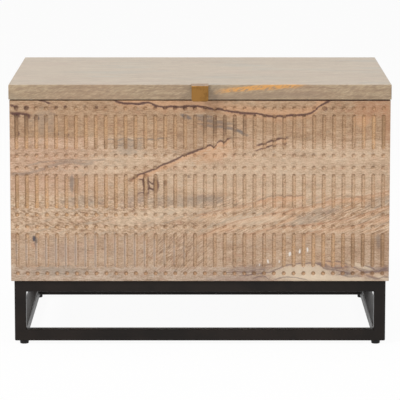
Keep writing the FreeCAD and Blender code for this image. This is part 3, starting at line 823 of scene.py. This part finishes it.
def makeCarvedWood():
    material, tree, shader, spot = openMaterial("carvedWood")
    across, down, depth = photoPlace(tree, spot)
    place = joined(tree, across, down, 1)
    perMm = photoFrame["perMetre"] * mm
    rowMiddle = photoFrame["down"] - carving["middle"] * perMm
    halfRow = carving["rowPitch"] * perMm / 2
    fromRow = maths(tree, "PINGPONG", maths(tree, "SUBTRACT", down, rowMiddle), halfRow)
    behindFace = maths(tree, "SUBTRACT", depth, carving["face"] * mm)
    sunkBy = maths(tree, "DIVIDE", behindFace, carving["deep"] * mm)
    inCut = times(tree, fade(tree, sunkBy, 0.2, 0.8), fade(tree, sunkBy, 1.3, 1.1))

    # the grain lies along the boards, climbs to the right in the lower one and is curly at its left
    straight = strokes(tree, spot, *frontGrain["straight"])
    climbing = strokes(tree, spot, *frontGrain["climbing"])
    curly = strokes(tree, spot, *frontGrain["curly"])
    hatched = strokes(tree, spot, *frontGrain["hatched"])
    fleck = strokes(tree, spot, *frontGrain["fleck"])
    broad = grain(tree, laid(tree, spot, drawn("Z", 16, 70)), 3, 0.6, 0.6)
    inLower = fade(tree, down, *frontZones["lowerTop"])
    inLower = times(tree, inLower, fade(tree, down, *frontZones["lowerFoot"]))
    inClimb = times(tree, inLower, fade(tree, across, *frontZones["climbRight"]))
    inCurl = times(tree, inLower, fade(tree, across, *frontZones["curlLeft"]))
    inHatch = stain(tree, place, swing(tree, straight, 2.0), hatch["middle"], hatch["size"])
    fibre = blend(tree, inClimb, straight, climbing)
    fibre = blend(tree, inCurl, fibre, curly)
    fibre = blend(tree, inHatch, fibre, hatched)
    lively = span(tree, maths(tree, "MAXIMUM", inLower, inHatch), 1.0, 1.5)
    level = times(tree, maths(tree, "SUBTRACT", fibre, 0.5), lively)
    level = total(tree, level, swing(tree, fleck, 0.75), swing(tree, broad, 0.5), 0.5)
    colour = ramp(tree, level, woodStops)
    hue = grain(tree, laid(tree, spot, drawn("Z", 8, 14)), 3, 0.65)
    colour = wash(tree, times(tree, fade(tree, hue, 0.54, 0.7), 0.3), colour, mango["pink"])
    colour = wash(tree, times(tree, fade(tree, hue, 0.46, 0.3), 0.3), colour, mango["grey"])
    drift = strokes(tree, spot, *frontGrain["drift"])
    colour = wash(tree, times(tree, fade(tree, drift, 0.54, 0.66), inClimb, 0.28), colour, spalt["peach"])
    colour = wash(tree, times(tree, fade(tree, drift, 0.46, 0.34), inLower, 0.4), colour, mango["grey"])
    pores = fade(tree, strokes(tree, spot, *frontGrain["pores"]), 0.6, 0.72)
    colour = wash(tree, times(tree, pores, 0.4), colour, mango["pore"])

    # tones of the boards
    crisp = fade(tree, down, *frontZones["aboveJoint"])
    toSoft = fade(tree, across, *frontZones["softRight"])
    softly = fade(tree, total(tree, down, swing(tree, broad, 30)), *frontZones["softJoint"])
    upper = blend(tree, toSoft, crisp, softly)
    colour = wash(tree, upper, colour, boardCast["upper"], "MULTIPLY")
    lower = fade(tree, down, *frontZones["lowerBoard"])
    colour = wash(tree, lower, colour, boardCast["lower"], "MULTIPLY")
    foot = fade(tree, total(tree, down, swing(tree, broad, 16)), *frontZones["foot"])
    colour = wash(tree, foot, colour, boardCast["foot"], "MULTIPLY")
    underJoint = fade(tree, down, *frontZones["belowJoint"])
    toLeft = fade(tree, across, *frontZones["pinkLeft"])
    pinkish = times(tree, underJoint, toLeft, fade(tree, down, *frontZones["pinkFoot"]))
    colour = wash(tree, pinkish, colour, boardCast["pinkish"], "MULTIPLY")

    # stains and everything drawn waver a little
    ragged = swing(tree, fibre, 4.4)
    slightly = swing(tree, fleck, 1.2)
    shake = swing(tree, grain(tree, laid(tree, spot, even(16)), 2, 0.5), 4)
    wander = total(tree, across, shake)
    sunk = total(tree, down, times(tree, shake, 0.6), swing(tree, fleck, 1.5), times(tree, inCut, -1.1))
    place = joined(tree, wander, sunk, 1)
    for middle, size, turn, paint, strength in stains.values():
        fray = ragged if min(size) > broadStain else slightly
        colour = wash(tree, stain(tree, place, fray, middle, size, turn, strength), colour, spalt[paint])

    # scribbles: contour lines of a small noise, shown in a few spots
    squiggle = grain(tree, laid(tree, spot, drawn("Z", 6, 10)), 2, 0.5, 1.4)
    thread = fade(tree, maths(tree, "PINGPONG", times(tree, squiggle, 6), 0.5), 0.09, 0.0)
    for middle, size, strength in scribbles.values():
        amount = times(tree, thread, stain(tree, place, 0.0, middle, size, 0, strength))
        colour = wash(tree, amount, colour, spalt["purple"])

    # spalt lines: a core of uneven width, with a peach glow beside some of them
    thickness = span(tree, grain(tree, laid(tree, spot, even(7)), 2), 0.3, 1.7)
    for line in spaltLines.values():
        points = line["points"]
        below = drawnLine(tree, across, sunk, points)
        frayed = total(tree, below, swing(tree, fibre, 9))
        left, right = points[0][0] + lineEnds["inset"], points[-1][0] - lineEnds["inset"]
        ends = between(tree, across, left, right, lineEnds["soft"])
        for side, (near, far) in glowReach.items():
            if side in line:
                glow = times(tree, fade(tree, below, *near), fade(tree, frayed, *far), ends, line[side])
                colour = wash(tree, glow, colour, spalt["peach"])
        core = maths(tree, "DIVIDE", maths(tree, "ABSOLUTE", below), times(tree, thickness, line["width"]))
        core = fade(tree, core, 1.0, 0.1)
        colour = wash(tree, times(tree, core, ends, line["strength"]), colour, spalt[line["paint"]])

    # fresh wood in the cuts is more golden, less so in the upper dots, and their walls are darkened by router
    # burn and painted shade
    dots = fade(tree, fromRow, *frontZones["dots"])
    upperDots = times(tree, dots, fade(tree, down, *frontZones["upperDots"]))
    calm = span(tree, upperDots, 1.0, 0.6)
    uneven = span(tree, grain(tree, laid(tree, spot, even(60)), 2), 0.0, 0.4)
    for middle, size, strength in goldenSpots.values():
        uneven = total(tree, uneven, stain(tree, place, ragged, middle, size, 0, strength, 0.7))
    colour = wash(tree, times(tree, inCut, uneven, calm), colour, spalt["golden"])
    # the floors of the low dots are washed lighter: fresh wood and painted light against their shade
    lowDots = times(tree, dots, fade(tree, down, *frontZones["lowDots"]), fade(tree, sunkBy, 0.5, 0.85))
    colour = wash(tree, times(tree, lowDots, span(tree, hue, 0.1, 0.9)), colour, spalt["fresh"])
    for middle, size, strength in darkCuts.values():
        amount = times(tree, stain(tree, place, ragged, middle, size, 0, strength, 0.5), inCut, calm)
        colour = wash(tree, amount, colour, spalt["umber"])
    chatter = times(tree, fade(tree, fleck, 0.52, 0.36), inCut, calm)
    colour = wash(tree, times(tree, chatter, 0.4), colour, spalt["umber"])
    halfPitch = carving["pitch"] * perMm / 2
    slotAt = photoFrame["across"] + halfPitch - dustyCuts["aside"]
    fromSlot = maths(tree, "PINGPONG", maths(tree, "SUBTRACT", across, slotAt), halfPitch)
    dusty = stain(tree, place, ragged, dustyCuts["middle"], dustyCuts["size"], 0, dustyCuts["strength"], 0.3)
    inSlot = fade(tree, fromSlot, dustyCuts["half"], dustyCuts["core"])
    dusty = times(tree, dusty, inSlot, fade(tree, fromRow, *frontZones["slots"]))
    colour = wash(tree, dusty, colour, spalt["dust"])
    # the walls of the cuts darkened: router burn and painted shade
    wallShadeAndBurn = times(tree, fade(tree, sunkBy, 0.03, 0.2), fade(tree, sunkBy, 0.96, 0.8), calm)
    colour = wash(tree, times(tree, wallShadeAndBurn, span(tree, uneven, 0.1, 0.6)), colour, spalt["wall"])
    # painted shade in the gap under the lid, along the panel's top edge towards the right
    paintedLightEdge = fade(tree, down, *frontZones["paintedLightEdge"])
    paintedLightEdge = times(tree, paintedLightEdge, fade(tree, across, *frontZones["gapShadeRight"]))
    colour = wash(tree, times(tree, paintedLightEdge, 0.85), colour, spalt["dark"])
    height = total(tree, times(tree, fibre, 0.5), times(tree, pores, -0.6))
    finishWood(tree, shader, colour, fibre, height, *frontRoughness)
    return material


carvedWood = makeCarvedWood()
print("wood ready")


# metals, plastic and rubber

def makeCoat(name, dark, light, low, high, peel, gloss):  # powder coat or lacquer
    material, tree, shader, spot = openMaterial(name)
    cloud = grain(tree, laid(tree, spot, even(90)), 3, 0.6)
    speck = grain(tree, laid(tree, spot, even(0.9)), 2, 0.6)
    tree.links.new(wash(tree, fade(tree, cloud, 0.35, 0.65), dark, light), shader.inputs["Base Color"])
    tree.links.new(span(tree, cloud, low, high), shader.inputs["Roughness"])
    shader.inputs["Specular IOR Level"].default_value = gloss
    emboss(tree, shader, speck, peel * mm)
    return material


def makeMetal(name, bright, dull, along, low, high, brush):
    material, tree, shader, spot = openMaterial(name)
    cloud = grain(tree, laid(tree, spot, even(14)), 4, 0.65)
    brushed = grain(tree, laid(tree, spot, drawn(along, 14, 0.35)), 3, 0.6)
    colour = wash(tree, fade(tree, cloud, 0.4, 0.68), bright, dull)
    colour = wash(tree, times(tree, fade(tree, brushed, 0.55, 0.75), 0.35), colour, dull)
    tree.links.new(colour, shader.inputs["Base Color"])
    rough = maths(tree, "ADD", times(tree, brushed, 0.5), times(tree, cloud, 0.5))
    tree.links.new(span(tree, rough, low, high), shader.inputs["Roughness"])
    shader.inputs["Metallic"].default_value = 1.0
    emboss(tree, shader, brushed, brush * mm)
    return material


blackSteel = makeCoat("blackSteel", tone(22, 17, 14), tone(33, 26, 22), 0.3, 0.5, 0.02, 0.2)
stayBlack = makeCoat("stayBlack", tone(22, 22, 23), tone(32, 32, 33), 0.2, 0.36, 0.005, 0.4)
footPlastic = makeCoat("footPlastic", tone(22, 22, 22), tone(30, 29, 28), 0.5, 0.7, 0.03, 0.25)
brass = makeMetal("agedBrass", tone(156, 114, 62), tone(130, 94, 50), "Z", 0.25, 0.5, 0.006)
hingeMetal = makeMetal("hingeMetal", tone(172, 146, 98), tone(116, 94, 62), "X", 0.25, 0.5, 0.004)
zinc = makeMetal("zinc", tone(196, 196, 194), tone(160, 161, 162), "Z", 0.28, 0.48, 0.004)
chrome = makeMetal("chrome", tone(226, 226, 228), tone(206, 207, 210), "Z", 0.04, 0.16, 0.001)


def makeRubber():
    material, tree, shader, spot = openMaterial("bumperRubber")
    cloud = grain(tree, laid(tree, spot, even(3)), 3)
    tree.links.new(wash(tree, cloud, tone(176, 172, 164), tone(205, 202, 196)), shader.inputs["Base Color"])
    tree.links.new(span(tree, cloud, 0.35, 0.6), shader.inputs["Roughness"])
    shader.inputs["Subsurface Weight"].default_value = 0.2
    shader.inputs["Subsurface Radius"].default_value = even(2)
    emboss(tree, shader, cloud, 0.05 * mm)
    return material


bumperRubber = makeRubber()
print("metals ready")


# pieces

def finishPiece(name, bm, material, body, crease=35):
    mesh = bpy.data.meshes.new(name)
    bm.to_mesh(mesh)
    bm.free()
    mesh.materials.append(material)
    importedNormals = mesh.attributes.get("custom_normal")  # these don't fit the rounded edges
    if importedNormals:
        mesh.attributes.remove(importedNormals)
    mesh.shade_smooth()
    mesh.set_sharp_from_angle(angle=math.radians(crease))
    piece = bpy.data.objects.new(name, mesh)
    scene.collection.objects.link(piece)
    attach(piece, body)
    return piece


def sharpEdges(bm, angle):
    limit = math.radians(angle)
    return [edge for edge in bm.edges if edge.is_manifold and edge.calc_face_angle() > limit]


def roundEdges(bm, edges, radius, segments):
    bmesh.ops.bevel(
        bm, geom=edges, offset=radius, offset_type="OFFSET", affect="EDGES", segments=segments,
        profile=0.5, material=-1, clamp_overlap=True,
    )


def keepFlat(bm, least, rim):  # broad faces get a narrow rim, so that their rounded edges don't shade them
    broad = [face for face in bm.faces if face.calc_area() > least * mm * mm]
    bmesh.ops.inset_individual(bm, faces=broad, thickness=rim * mm, depth=0, use_even_offset=True)


def newOnes(geometry, kind):
    return [item for item in geometry if isinstance(item, kind)]


def extrudeRing(bm, edges):
    grown = bmesh.ops.extrude_edge_only(bm, edges=edges)["geom"]
    verts = newOnes(grown, bmesh.types.BMVert)
    fresh = set(verts)
    ring = [edge for edge in newOnes(grown, bmesh.types.BMEdge) if fresh.issuperset(edge.verts)]
    return verts, ring


def cutSeats(bm, level, centres, radius, deep, facing, sides, least):  # shallow round seats in a level face
    near = 0.02 * mm
    flat = []
    for face in bm.faces:
        onLevel = abs(face.calc_center_median().z - level * mm) < near
        if onLevel and face.calc_area() > least * mm * mm:
            flat.append(face)
    border = list({edge for face in flat for edge in face.edges})
    bmesh.ops.delete(bm, geom=flat, context="FACES_ONLY")
    rims = []
    for x, y in centres:
        ring = bmesh.ops.create_circle(bm, cap_ends=False, segments=sides, radius=radius * mm)["verts"]
        bmesh.ops.translate(bm, verts=ring, vec=(x * mm, y * mm, level * mm))
        rim = list({edge for vert in ring for edge in vert.link_edges})
        rims += rim
        verts, floor = extrudeRing(bm, rim)
        bmesh.ops.translate(bm, verts=verts, vec=(0, 0, -facing * deep * mm))
        bmesh.ops.contextual_create(bm, geom=floor)
    bmesh.ops.triangle_fill(bm, use_beauty=True, edges=border + rims, normal=(0, 0, facing))


easedEdges = {"weld": 0.002, "flatWithin": 1, "sharpOver": 25, "segments": 2}  # mm and degrees


# the solid without its sharp edges
def easedCopy(nodeName, name, material, easing, broad=None, seats=None):
    node = cadNodes[nodeName]
    flatWithin = math.radians(easedEdges["flatWithin"])
    bm = bmesh.new()
    bm.from_mesh(node.data)
    bmesh.ops.remove_doubles(bm, verts=bm.verts, dist=easedEdges["weld"] * mm)
    bmesh.ops.dissolve_limit(bm, angle_limit=flatWithin, verts=bm.verts, edges=bm.edges)
    roundEdges(bm, sharpEdges(bm, easedEdges["sharpOver"]), easing * mm, easedEdges["segments"])
    if broad:
        keepFlat(bm, broad, easing)
    if seats:
        cutSeats(bm, **seats)
    bmesh.ops.recalc_face_normals(bm, faces=bm.faces)
    piece = finishPiece(name, bm, material, node["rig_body"])
    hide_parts(nodeName)


# carved front panel

def cutGroove(bm, up, reach, radius, sides, steps):  # a round pit, or a slot if the reach draws it out
    ring = bmesh.ops.create_circle(bm, cap_ends=False, segments=sides, radius=radius * mm)["verts"]
    bmesh.ops.rotate(bm, verts=ring, cent=(0, 0, 0), matrix=Matrix.Rotation(math.pi / sides, 3, "Z"))
    bmesh.ops.rotate(bm, verts=ring, cent=(0, 0, 0), matrix=Matrix.Rotation(math.pi / 2, 3, "X"))
    rim = list({edge for vert in ring for edge in vert.link_edges})
    for vert in ring:
        vert.co.z += math.copysign(reach * mm, vert.co.z)
    bmesh.ops.translate(bm, verts=ring, vec=(0, carving["face"] * mm, up * mm))
    edges = rim
    for narrower, deep in steps:
        verts, edges = extrudeRing(bm, edges)
        for vert in verts:
            side = math.copysign(reach * mm, vert.co.z - up * mm)
            centre = Vector((0, vert.co.y, up * mm + side))
            inward = centre - vert.co
            vert.co += inward.normalized() * narrower * mm
            vert.co.y = (carving["face"] + deep) * mm
    bmesh.ops.contextual_create(bm, geom=edges)
    return rim


def openEdges(bm):
    return [edge for edge in bm.edges if edge.is_boundary]


def edgesAlong(bm, axis, value):
    near = 0.01 * mm
    return [edge for edge in openEdges(bm) if all(abs(vert.co[axis] - value) < near for vert in edge.verts)]


def copyAcross(bm, count, step):
    source = bm.verts[:] + bm.edges[:] + bm.faces[:]
    for number in range(1, count):
        copied = bmesh.ops.duplicate(bm, geom=source)["geom"]
        bmesh.ops.translate(bm, verts=newOnes(copied, bmesh.types.BMVert), vec=Vector(step) * number)


def makeCarvedFront():
    bm = bmesh.new()
    half, tall = carving["pitch"] / 2 * mm, carving["rowPitch"] / 2 * mm
    face = carving["face"] * mm
    slotReach, slotRadius = carving["slotReach"], carving["slotRadius"]
    rims = cutGroove(bm, 0, slotReach, slotRadius, carving["slotSides"], carving["slotSteps"])
    for up in (-carving["dotOffset"], carving["dotOffset"]):
        rims += cutGroove(bm, up, 0, carving["dotRadius"], carving["dotSides"], carving["dotSteps"])
    places = ((-half, -tall), (half, -tall), (half, tall), (-half, tall))
    corners = [bm.verts.new((x, face, z)) for x, z in places]
    border = [bm.edges.new((corners[index - 1], corners[index])) for index in range(len(corners))]
    bmesh.ops.triangle_fill(bm, use_beauty=True, edges=rims + border, normal=(0, -1, 0))
    copyAcross(bm, carving["columns"], (2 * half, 0, 0))
    copyAcross(bm, carving["rows"], (0, 0, 2 * tall))
    left = -half * (carving["columns"] - 1)
    low = carving["middle"] * mm - tall * (carving["rows"] - 1)
    bmesh.ops.translate(bm, verts=bm.verts, vec=(left, 0, low))
    bmesh.ops.remove_doubles(bm, verts=bm.verts, dist=0.01 * mm)

    # plain margin all round
    wide = half * carving["columns"]
    high = tall * carving["rows"]
    middle = carving["middle"] * mm
    margins = [
        (0, -wide, -carving["halfWidth"] * mm),
        (0, wide, carving["halfWidth"] * mm),
        (2, middle - high, carving["low"] * mm),
        (2, middle + high, carving["high"] * mm),
    ]
    for axis, start, end in margins:
        verts, ring = extrudeRing(bm, edgesAlong(bm, axis, start))
        for vert in verts:
            vert.co[axis] = end

    # mitred ends, with the rebate for the floor panel on the inside
    outline = openEdges(bm)
    ring = outline
    stages = [
        (carving["rebate"], carving["low"]),
        (carving["rebate"], carving["rebateTop"]),
        (carving["thickness"], carving["rebateTop"]),
    ]
    for back, foot in stages:
        verts, ring = extrudeRing(bm, ring)
        wideNow = max(vert.co.x for vert in verts)
        ratio = (carving["halfWidth"] - back) * mm / wideNow
        for vert in verts:
            vert.co.x *= ratio
            vert.co.y = face + back * mm
            vert.co.z = max(vert.co.z, foot * mm)
    bmesh.ops.contextual_create(bm, geom=ring)
    roundEdges(bm, outline, carving["edge"] * mm, 2)
    bmesh.ops.dissolve_degenerate(bm, dist=0.005 * mm, edges=bm.edges)
    bmesh.ops.recalc_face_normals(bm, faces=bm.faces)
    piece = finishPiece("carvedFront", bm, carvedWood, "case", carving["crease"])
    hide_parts("front_panel")


makeCarvedFront()
print("carved front ready")


# welded base: the tubes of the two rings and the legs as one ground and painted frame

base = {  # mm
    "wide": 647.0,
    "deep": 445.5,
    "tall": 107.0,
    "front": -214.15,
    "bottom": 6.0,
    "tube": 20.0,
    "corner": 2.0,
    "broad": 500,  # square mm
    "rim": 0.6,
}
rails = [f"{side}_{ring}_rail" for side in ("front", "right", "back", "left") for ring in ("top", "bottom")]
legs = [f"{end}_{side}_leg" for end in ("front", "back") for side in ("left", "right")]


def makeBase():
    bm = bmesh.new()
    tube = base["tube"] * mm
    bmesh.ops.create_cube(bm, size=1)
    bmesh.ops.scale(bm, verts=bm.verts, vec=(base["wide"] * mm, base["deep"] * mm, base["tall"] * mm))
    middle = (0, (base["front"] + base["deep"] / 2) * mm, (base["bottom"] + base["tall"] / 2) * mm)
    bmesh.ops.translate(bm, verts=bm.verts, vec=middle)
    sides = bm.faces[:]
    bmesh.ops.inset_individual(bm, faces=sides, thickness=tube, depth=0, use_even_offset=True)
    openings = bmesh.ops.extrude_discrete_faces(bm, faces=sides)["faces"]
    for opening in openings:
        bmesh.ops.translate(bm, verts=opening.verts, vec=-opening.normal * tube)
    bmesh.ops.delete(bm, geom=openings, context="FACES_ONLY")
    bmesh.ops.remove_doubles(bm, verts=bm.verts, dist=0.01 * mm)
    bmesh.ops.recalc_face_normals(bm, faces=bm.faces)
    outer = [edge for edge in sharpEdges(bm, 30) if edge.is_convex]
    roundEdges(bm, outer, base["corner"] * mm, 3)
    keepFlat(bm, base["broad"], base["rim"])
    piece = finishPiece("weldedBase", bm, blackSteel, "case")
    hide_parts(*rails, *legs)


makeBase()


# glides under the bottom ring

glide = {  # mm
    "acrossX": 307.5,
    "frontY": -204.15,
    "backY": 221.35,
    "low": 7.4,
    "top": 8.0,
    "tall": 6.0,
    "edge": 0.9,
    "sides": 36,
}


def makeGlides():
    bm = bmesh.new()
    for x in (-glide["acrossX"], glide["acrossX"]):
        for y in (glide["frontY"], glide["backY"]):
            verts = bmesh.ops.create_cone(
                bm, cap_ends=True, segments=glide["sides"], depth=glide["tall"] * mm,
                radius1=glide["low"] * mm, radius2=glide["top"] * mm,
            )["verts"]
            bmesh.ops.translate(bm, verts=verts, vec=(x * mm, y * mm, glide["tall"] / 2 * mm))
    rim = [edge for edge in sharpEdges(bm, 40) if all(vert.co.z < glide["edge"] * mm for vert in edge.verts)]
    roundEdges(bm, rim, glide["edge"] * mm, 3)
    piece = finishPiece("glides", bm, footPlastic, "case")
    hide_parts("feet")


makeGlides()
print("base ready")


# eased copies of the smaller solids: node, name, finish, slot, easing in mm, least broad face in square mm

easedParts = [
    ("lid_panel", "lidBoard", lidWood, "mango_wood", 0.35, 900),
    ("lid_pull", "brassPull", brass, "brass", 0.45, 60),
    ("lid_bumpers", "bumpers", bumperRubber, "clear_rubber", 0.4, None),
    ("stay_wall_brackets", "wallBrackets", zinc, "bracket_steel", 0.3, 60),
    ("stay_lid_brackets", "lidBrackets", zinc, "bracket_steel", 0.3, 60),
    ("left_stay_barrel", "leftBarrel", stayBlack, "stay_black", 0.4, None),
    ("right_stay_barrel", "rightBarrel", stayBlack, "stay_black", 0.4, None),
    ("left_stay_rod", "leftRod", chrome, "stay_chrome", 0.3, None),
    ("right_stay_rod", "rightRod", chrome, "stay_chrome", 0.3, None),
]
for nodeName, name, material, slotName, easing, broad in easedParts:
    easedCopy(nodeName, name, material, easing, broad)

hinge = {  # mm
    "middles": (-205.0, 205.0),
    "screws": (-20.0, 0.0, 20.0),
    "screwY": 228.0,
    "caseLevel": 429.9,
    "lidLevel": 430.1,
    "easing": 0.15,
    "broad": 200,  # square mm
}
hingeHoles = [(middle + shift, hinge["screwY"]) for middle in hinge["middles"] for shift in hinge["screws"]]
seat = {"centres": hingeHoles, "radius": 3.2, "deep": 0.42, "sides": 20, "least": hinge["broad"]}
caseSeats = {"level": hinge["caseLevel"], "facing": 1, **seat}
lidSeats = {"level": hinge["lidLevel"], "facing": -1, **seat}
leaves = [("hinge_case_leaves", "caseLeaves", caseSeats), ("hinge_lid_leaves", "lidLeaves", lidSeats)]
for nodeName, name, seats in leaves:
    easedCopy(nodeName, name, hingeMetal, hinge["easing"], hinge["broad"], seats)

carriedOver = {
    "left_side_panel": sideWood,
    "right_side_panel": sideWood,
    "back_panel": backWood,
    "bottom_panel": plyWood,
}
for end in ("front", "back"):
    for side in ("left", "right"):
        carriedOver[f"{end}_{side}_corner_plate"] = blackSteel
for nodeName, material in carriedOver.items():
    mesh = cadNodes[nodeName].data
    mesh.materials.clear()
    mesh.materials.append(material)
print("solids dressed")


# screws with a cross recess: domed heads, and flat ones sunk in the hinge leaves

screwSides = 20
crownRim = 0.15  # mm
domed = {"radius": 3.4, "tall": 1.5, "dome": 0.8, "slot": 0.55, "reach": 2.1, "sunk": 0.9}
flush = {"radius": 2.9, "tall": 0.4, "dome": 0.12, "slot": 0.4, "reach": 1.8, "sunk": 0.3}


def makeScrewHead(screw):
    bm = bmesh.new()
    radius, tall, slot = screw["radius"] * mm, screw["tall"] * mm, screw["slot"] * mm
    crownLevel = tall * 0.99
    bmesh.ops.create_cone(
        bm, cap_ends=True, segments=screwSides, radius1=radius, radius2=radius, depth=tall,
    )
    bmesh.ops.translate(bm, verts=bm.verts, vec=(0, 0, tall / 2))
    rim = [edge for edge in sharpEdges(bm, 40) if all(vert.co.z > tall / 2 for vert in edge.verts)]
    roundEdges(bm, rim, screw["dome"] * mm, 3)
    crown = max(bm.faces, key=lambda piece: piece.calc_center_median().z)
    bmesh.ops.inset_region(bm, faces=[crown], thickness=crownRim * mm, depth=0)
    for normal in (Vector((1, 0, 0)), Vector((0, 1, 0))):
        for side in (-1, 1):
            top = [crownPart for crownPart in bm.faces if crownPart.calc_center_median().z > crownLevel]
            parts = set(top)
            for crownPart in top:
                parts.update(crownPart.edges)
                parts.update(crownPart.verts)
            cut = normal * side * slot
            bmesh.ops.bisect_plane(bm, geom=list(parts), plane_co=cut, plane_no=normal, dist=1e-7)
    cross = []
    for crownPart in bm.faces:
        centre = crownPart.calc_center_median()
        aside, along = sorted((abs(centre.x), abs(centre.y)))
        inArm = aside < slot and along < screw["reach"] * mm
        if centre.z > crownLevel and inArm:
            cross.append(crownPart)
    grown = bmesh.ops.extrude_face_region(bm, geom=cross)["geom"]
    bmesh.ops.delete(bm, geom=cross, context="FACES_ONLY")
    bmesh.ops.translate(bm, verts=newOnes(grown, bmesh.types.BMVert), vec=(0, 0, -screw["sunk"] * mm))
    bmesh.ops.recalc_face_normals(bm, faces=bm.faces)
    mesh = bpy.data.meshes.new("screwHead")
    bm.to_mesh(mesh)
    bm.free()
    return mesh


def setScrews(name, material, body, places, kind):  # places: point in mm and the way the head faces
    screwHead = makeScrewHead(kind)
    bm = bmesh.new()
    for point, facing in places:
        before = len(bm.verts)
        bm.from_mesh(screwHead)
        bm.verts.ensure_lookup_table()
        turn = Vector((0, 0, 1)).rotation_difference(Vector(facing)).to_matrix().to_4x4()
        move = Matrix.Translation(Vector(point) * mm)
        bmesh.ops.transform(bm, matrix=move @ turn, verts=bm.verts[before:])
    bpy.data.meshes.remove(screwHead)
    finishPiece(name, bm, material, body)


screwPlaces = {  # mm, the same on the left and the right
    "wall": {"x": 308.0, "y": (187.65, 204.65), "z": 235.2},
    "lid": {"x": 294.5, "y": (43.12, 77.12), "z": 428.5},
    "plate": {"x": 289.5, "y": (-180.15, 197.35), "z": 110.0},
}


def onBothSides(kind, inward, up):
    place = screwPlaces[kind]
    screws = []
    for side in (-1, 1):
        for y in place["y"]:
            screws.append(((side * place["x"], y, place["z"]), (-side * inward, 0, up)))
    return screws


wallScrews = onBothSides("wall", 1, 0)
lidScrews = onBothSides("lid", 0, -1)
plateScrews = onBothSides("plate", 0, -1)
caseHingeScrews = [((x, y, hinge["caseLevel"] - flush["tall"]), (0, 0, 1)) for x, y in hingeHoles]
lidHingeScrews = [((x, y, hinge["lidLevel"] + flush["tall"]), (0, 0, -1)) for x, y in hingeHoles]
setScrews("wallScrews", zinc, "case", wallScrews, domed)
setScrews("lidScrews", zinc, "lid", lidScrews, domed)
setScrews("plateScrews", zinc, "case", plateScrews, domed)
setScrews("caseHingeScrews", hingeMetal, "case", caseHingeScrews, flush)
setScrews("lidHingeScrews", hingeMetal, "lid", lidHingeScrews, flush)
print("screws set")


# floor, light and camera

studio = {
    "floorSize": 30.0,
    "floorGrey": (0.9, 0.9, 0.9, 1),
    "floorGlow": 0.95,
    "ambient": 0.3,
    "ambientTint": (1.0, 0.99, 0.97, 1),
    "lamps": {  # place, aim, size, watts
        "keyLeft": ((-2.7, -2.9, 3.8), (0, -0.1, 0.25), 1.4, 150.0),
        "fillRight": ((2.6, -2.9, 3.3), (0, -0.1, 0.25), 2.0, 57.0),
        "overhead": ((0.0, 0.3, 3.4), (0, 0, 0.4), 2.4, 18.0),
    },
}


def seenDirectly(tree):  # camera, mirror and glass see the white surroundings, the rest only their soft light
    path = tree.nodes.new("ShaderNodeLightPath")
    seen = maths(tree, "MAXIMUM", path.outputs["Is Camera Ray"], path.outputs["Is Glossy Ray"])
    return maths(tree, "MAXIMUM", seen, path.outputs["Is Transmission Ray"])


def makeWorld():
    world = bpy.data.worlds.new("paleRoom")
    world.use_nodes = True
    tree = world.node_tree
    tree.nodes.clear()
    output = tree.nodes.new("ShaderNodeOutputWorld")
    soft = tree.nodes.new("ShaderNodeBackground")
    soft.inputs["Color"].default_value = studio["ambientTint"]
    soft.inputs["Strength"].default_value = studio["ambient"]
    white = tree.nodes.new("ShaderNodeBackground")
    white.inputs["Strength"].default_value = 1.0
    white.inputs["Color"].default_value = (1, 1, 1, 1)
    mix = tree.nodes.new("ShaderNodeMixShader")
    tree.links.new(seenDirectly(tree), mix.inputs[0])
    tree.links.new(soft.outputs[0], mix.inputs[1])
    tree.links.new(white.outputs[0], mix.inputs[2])
    tree.links.new(mix.outputs[0], output.inputs[0])
    scene.world = world


def makeFloor():
    bm = bmesh.new()
    bmesh.ops.create_grid(bm, x_segments=1, y_segments=1, size=studio["floorSize"] / 2)
    mesh = bpy.data.meshes.new("floor")
    bm.to_mesh(mesh)
    bm.free()
    material = bpy.data.materials.new("paleFloor")
    material.use_nodes = True
    tree = material.node_tree
    tree.nodes.clear()
    output = tree.nodes.new("ShaderNodeOutputMaterial")
    matt = tree.nodes.new("ShaderNodeBsdfDiffuse")
    matt.inputs["Color"].default_value = studio["floorGrey"]
    glow = tree.nodes.new("ShaderNodeEmission")
    mix = tree.nodes.new("ShaderNodeMixShader")
    tree.links.new(times(tree, seenDirectly(tree), studio["floorGlow"]), mix.inputs[0])
    tree.links.new(matt.outputs[0], mix.inputs[1])
    tree.links.new(glow.outputs[0], mix.inputs[2])
    tree.links.new(mix.outputs[0], output.inputs[0])
    mesh.materials.append(material)
    floor = bpy.data.objects.new("floor", mesh)
    scene.collection.objects.link(floor)


def makeLamps():
    for name, (place, aim, size, watts) in studio["lamps"].items():
        lamp = bpy.data.lights.new(name, "AREA")
        lamp.shape = "DISK"
        lamp.size = size
        lamp.energy = watts
        holder = bpy.data.objects.new(name, lamp)
        holder.location = place
        holder.rotation_euler = (Vector(aim) - Vector(place)).to_track_quat("-Z", "Y").to_euler()
        scene.collection.objects.link(holder)


viewpoint = {  # metres and degrees, with the focal length in the photograph's pixels
    "distance": 4.697,
    "front": -0.22065,
    "height": 0.989,
    "tilt": 8.87,
    "focalPixels": 2745.0,
    "sensor": 36.0,  # mm
    "clipEnd": 100.0,
}


def makeCamera():
    camera = bpy.data.cameras.new("camera")
    camera.sensor_fit = "HORIZONTAL"
    camera.sensor_width = viewpoint["sensor"]
    camera.lens = viewpoint["focalPixels"] / photoFrame["size"] * viewpoint["sensor"]
    camera.clip_end = viewpoint["clipEnd"]
    holder = bpy.data.objects.new("camera", camera)
    holder.location = (0, viewpoint["front"] - viewpoint["distance"], viewpoint["height"])
    holder.rotation_euler = (math.radians(90 - viewpoint["tilt"]), 0, 0)
    scene.collection.objects.link(holder)
    scene.camera = holder


makeWorld()
makeFloor()
makeLamps()
makeCamera()
scene.view_settings.view_transform = "Standard"
print("studio ready")

print("scene done")
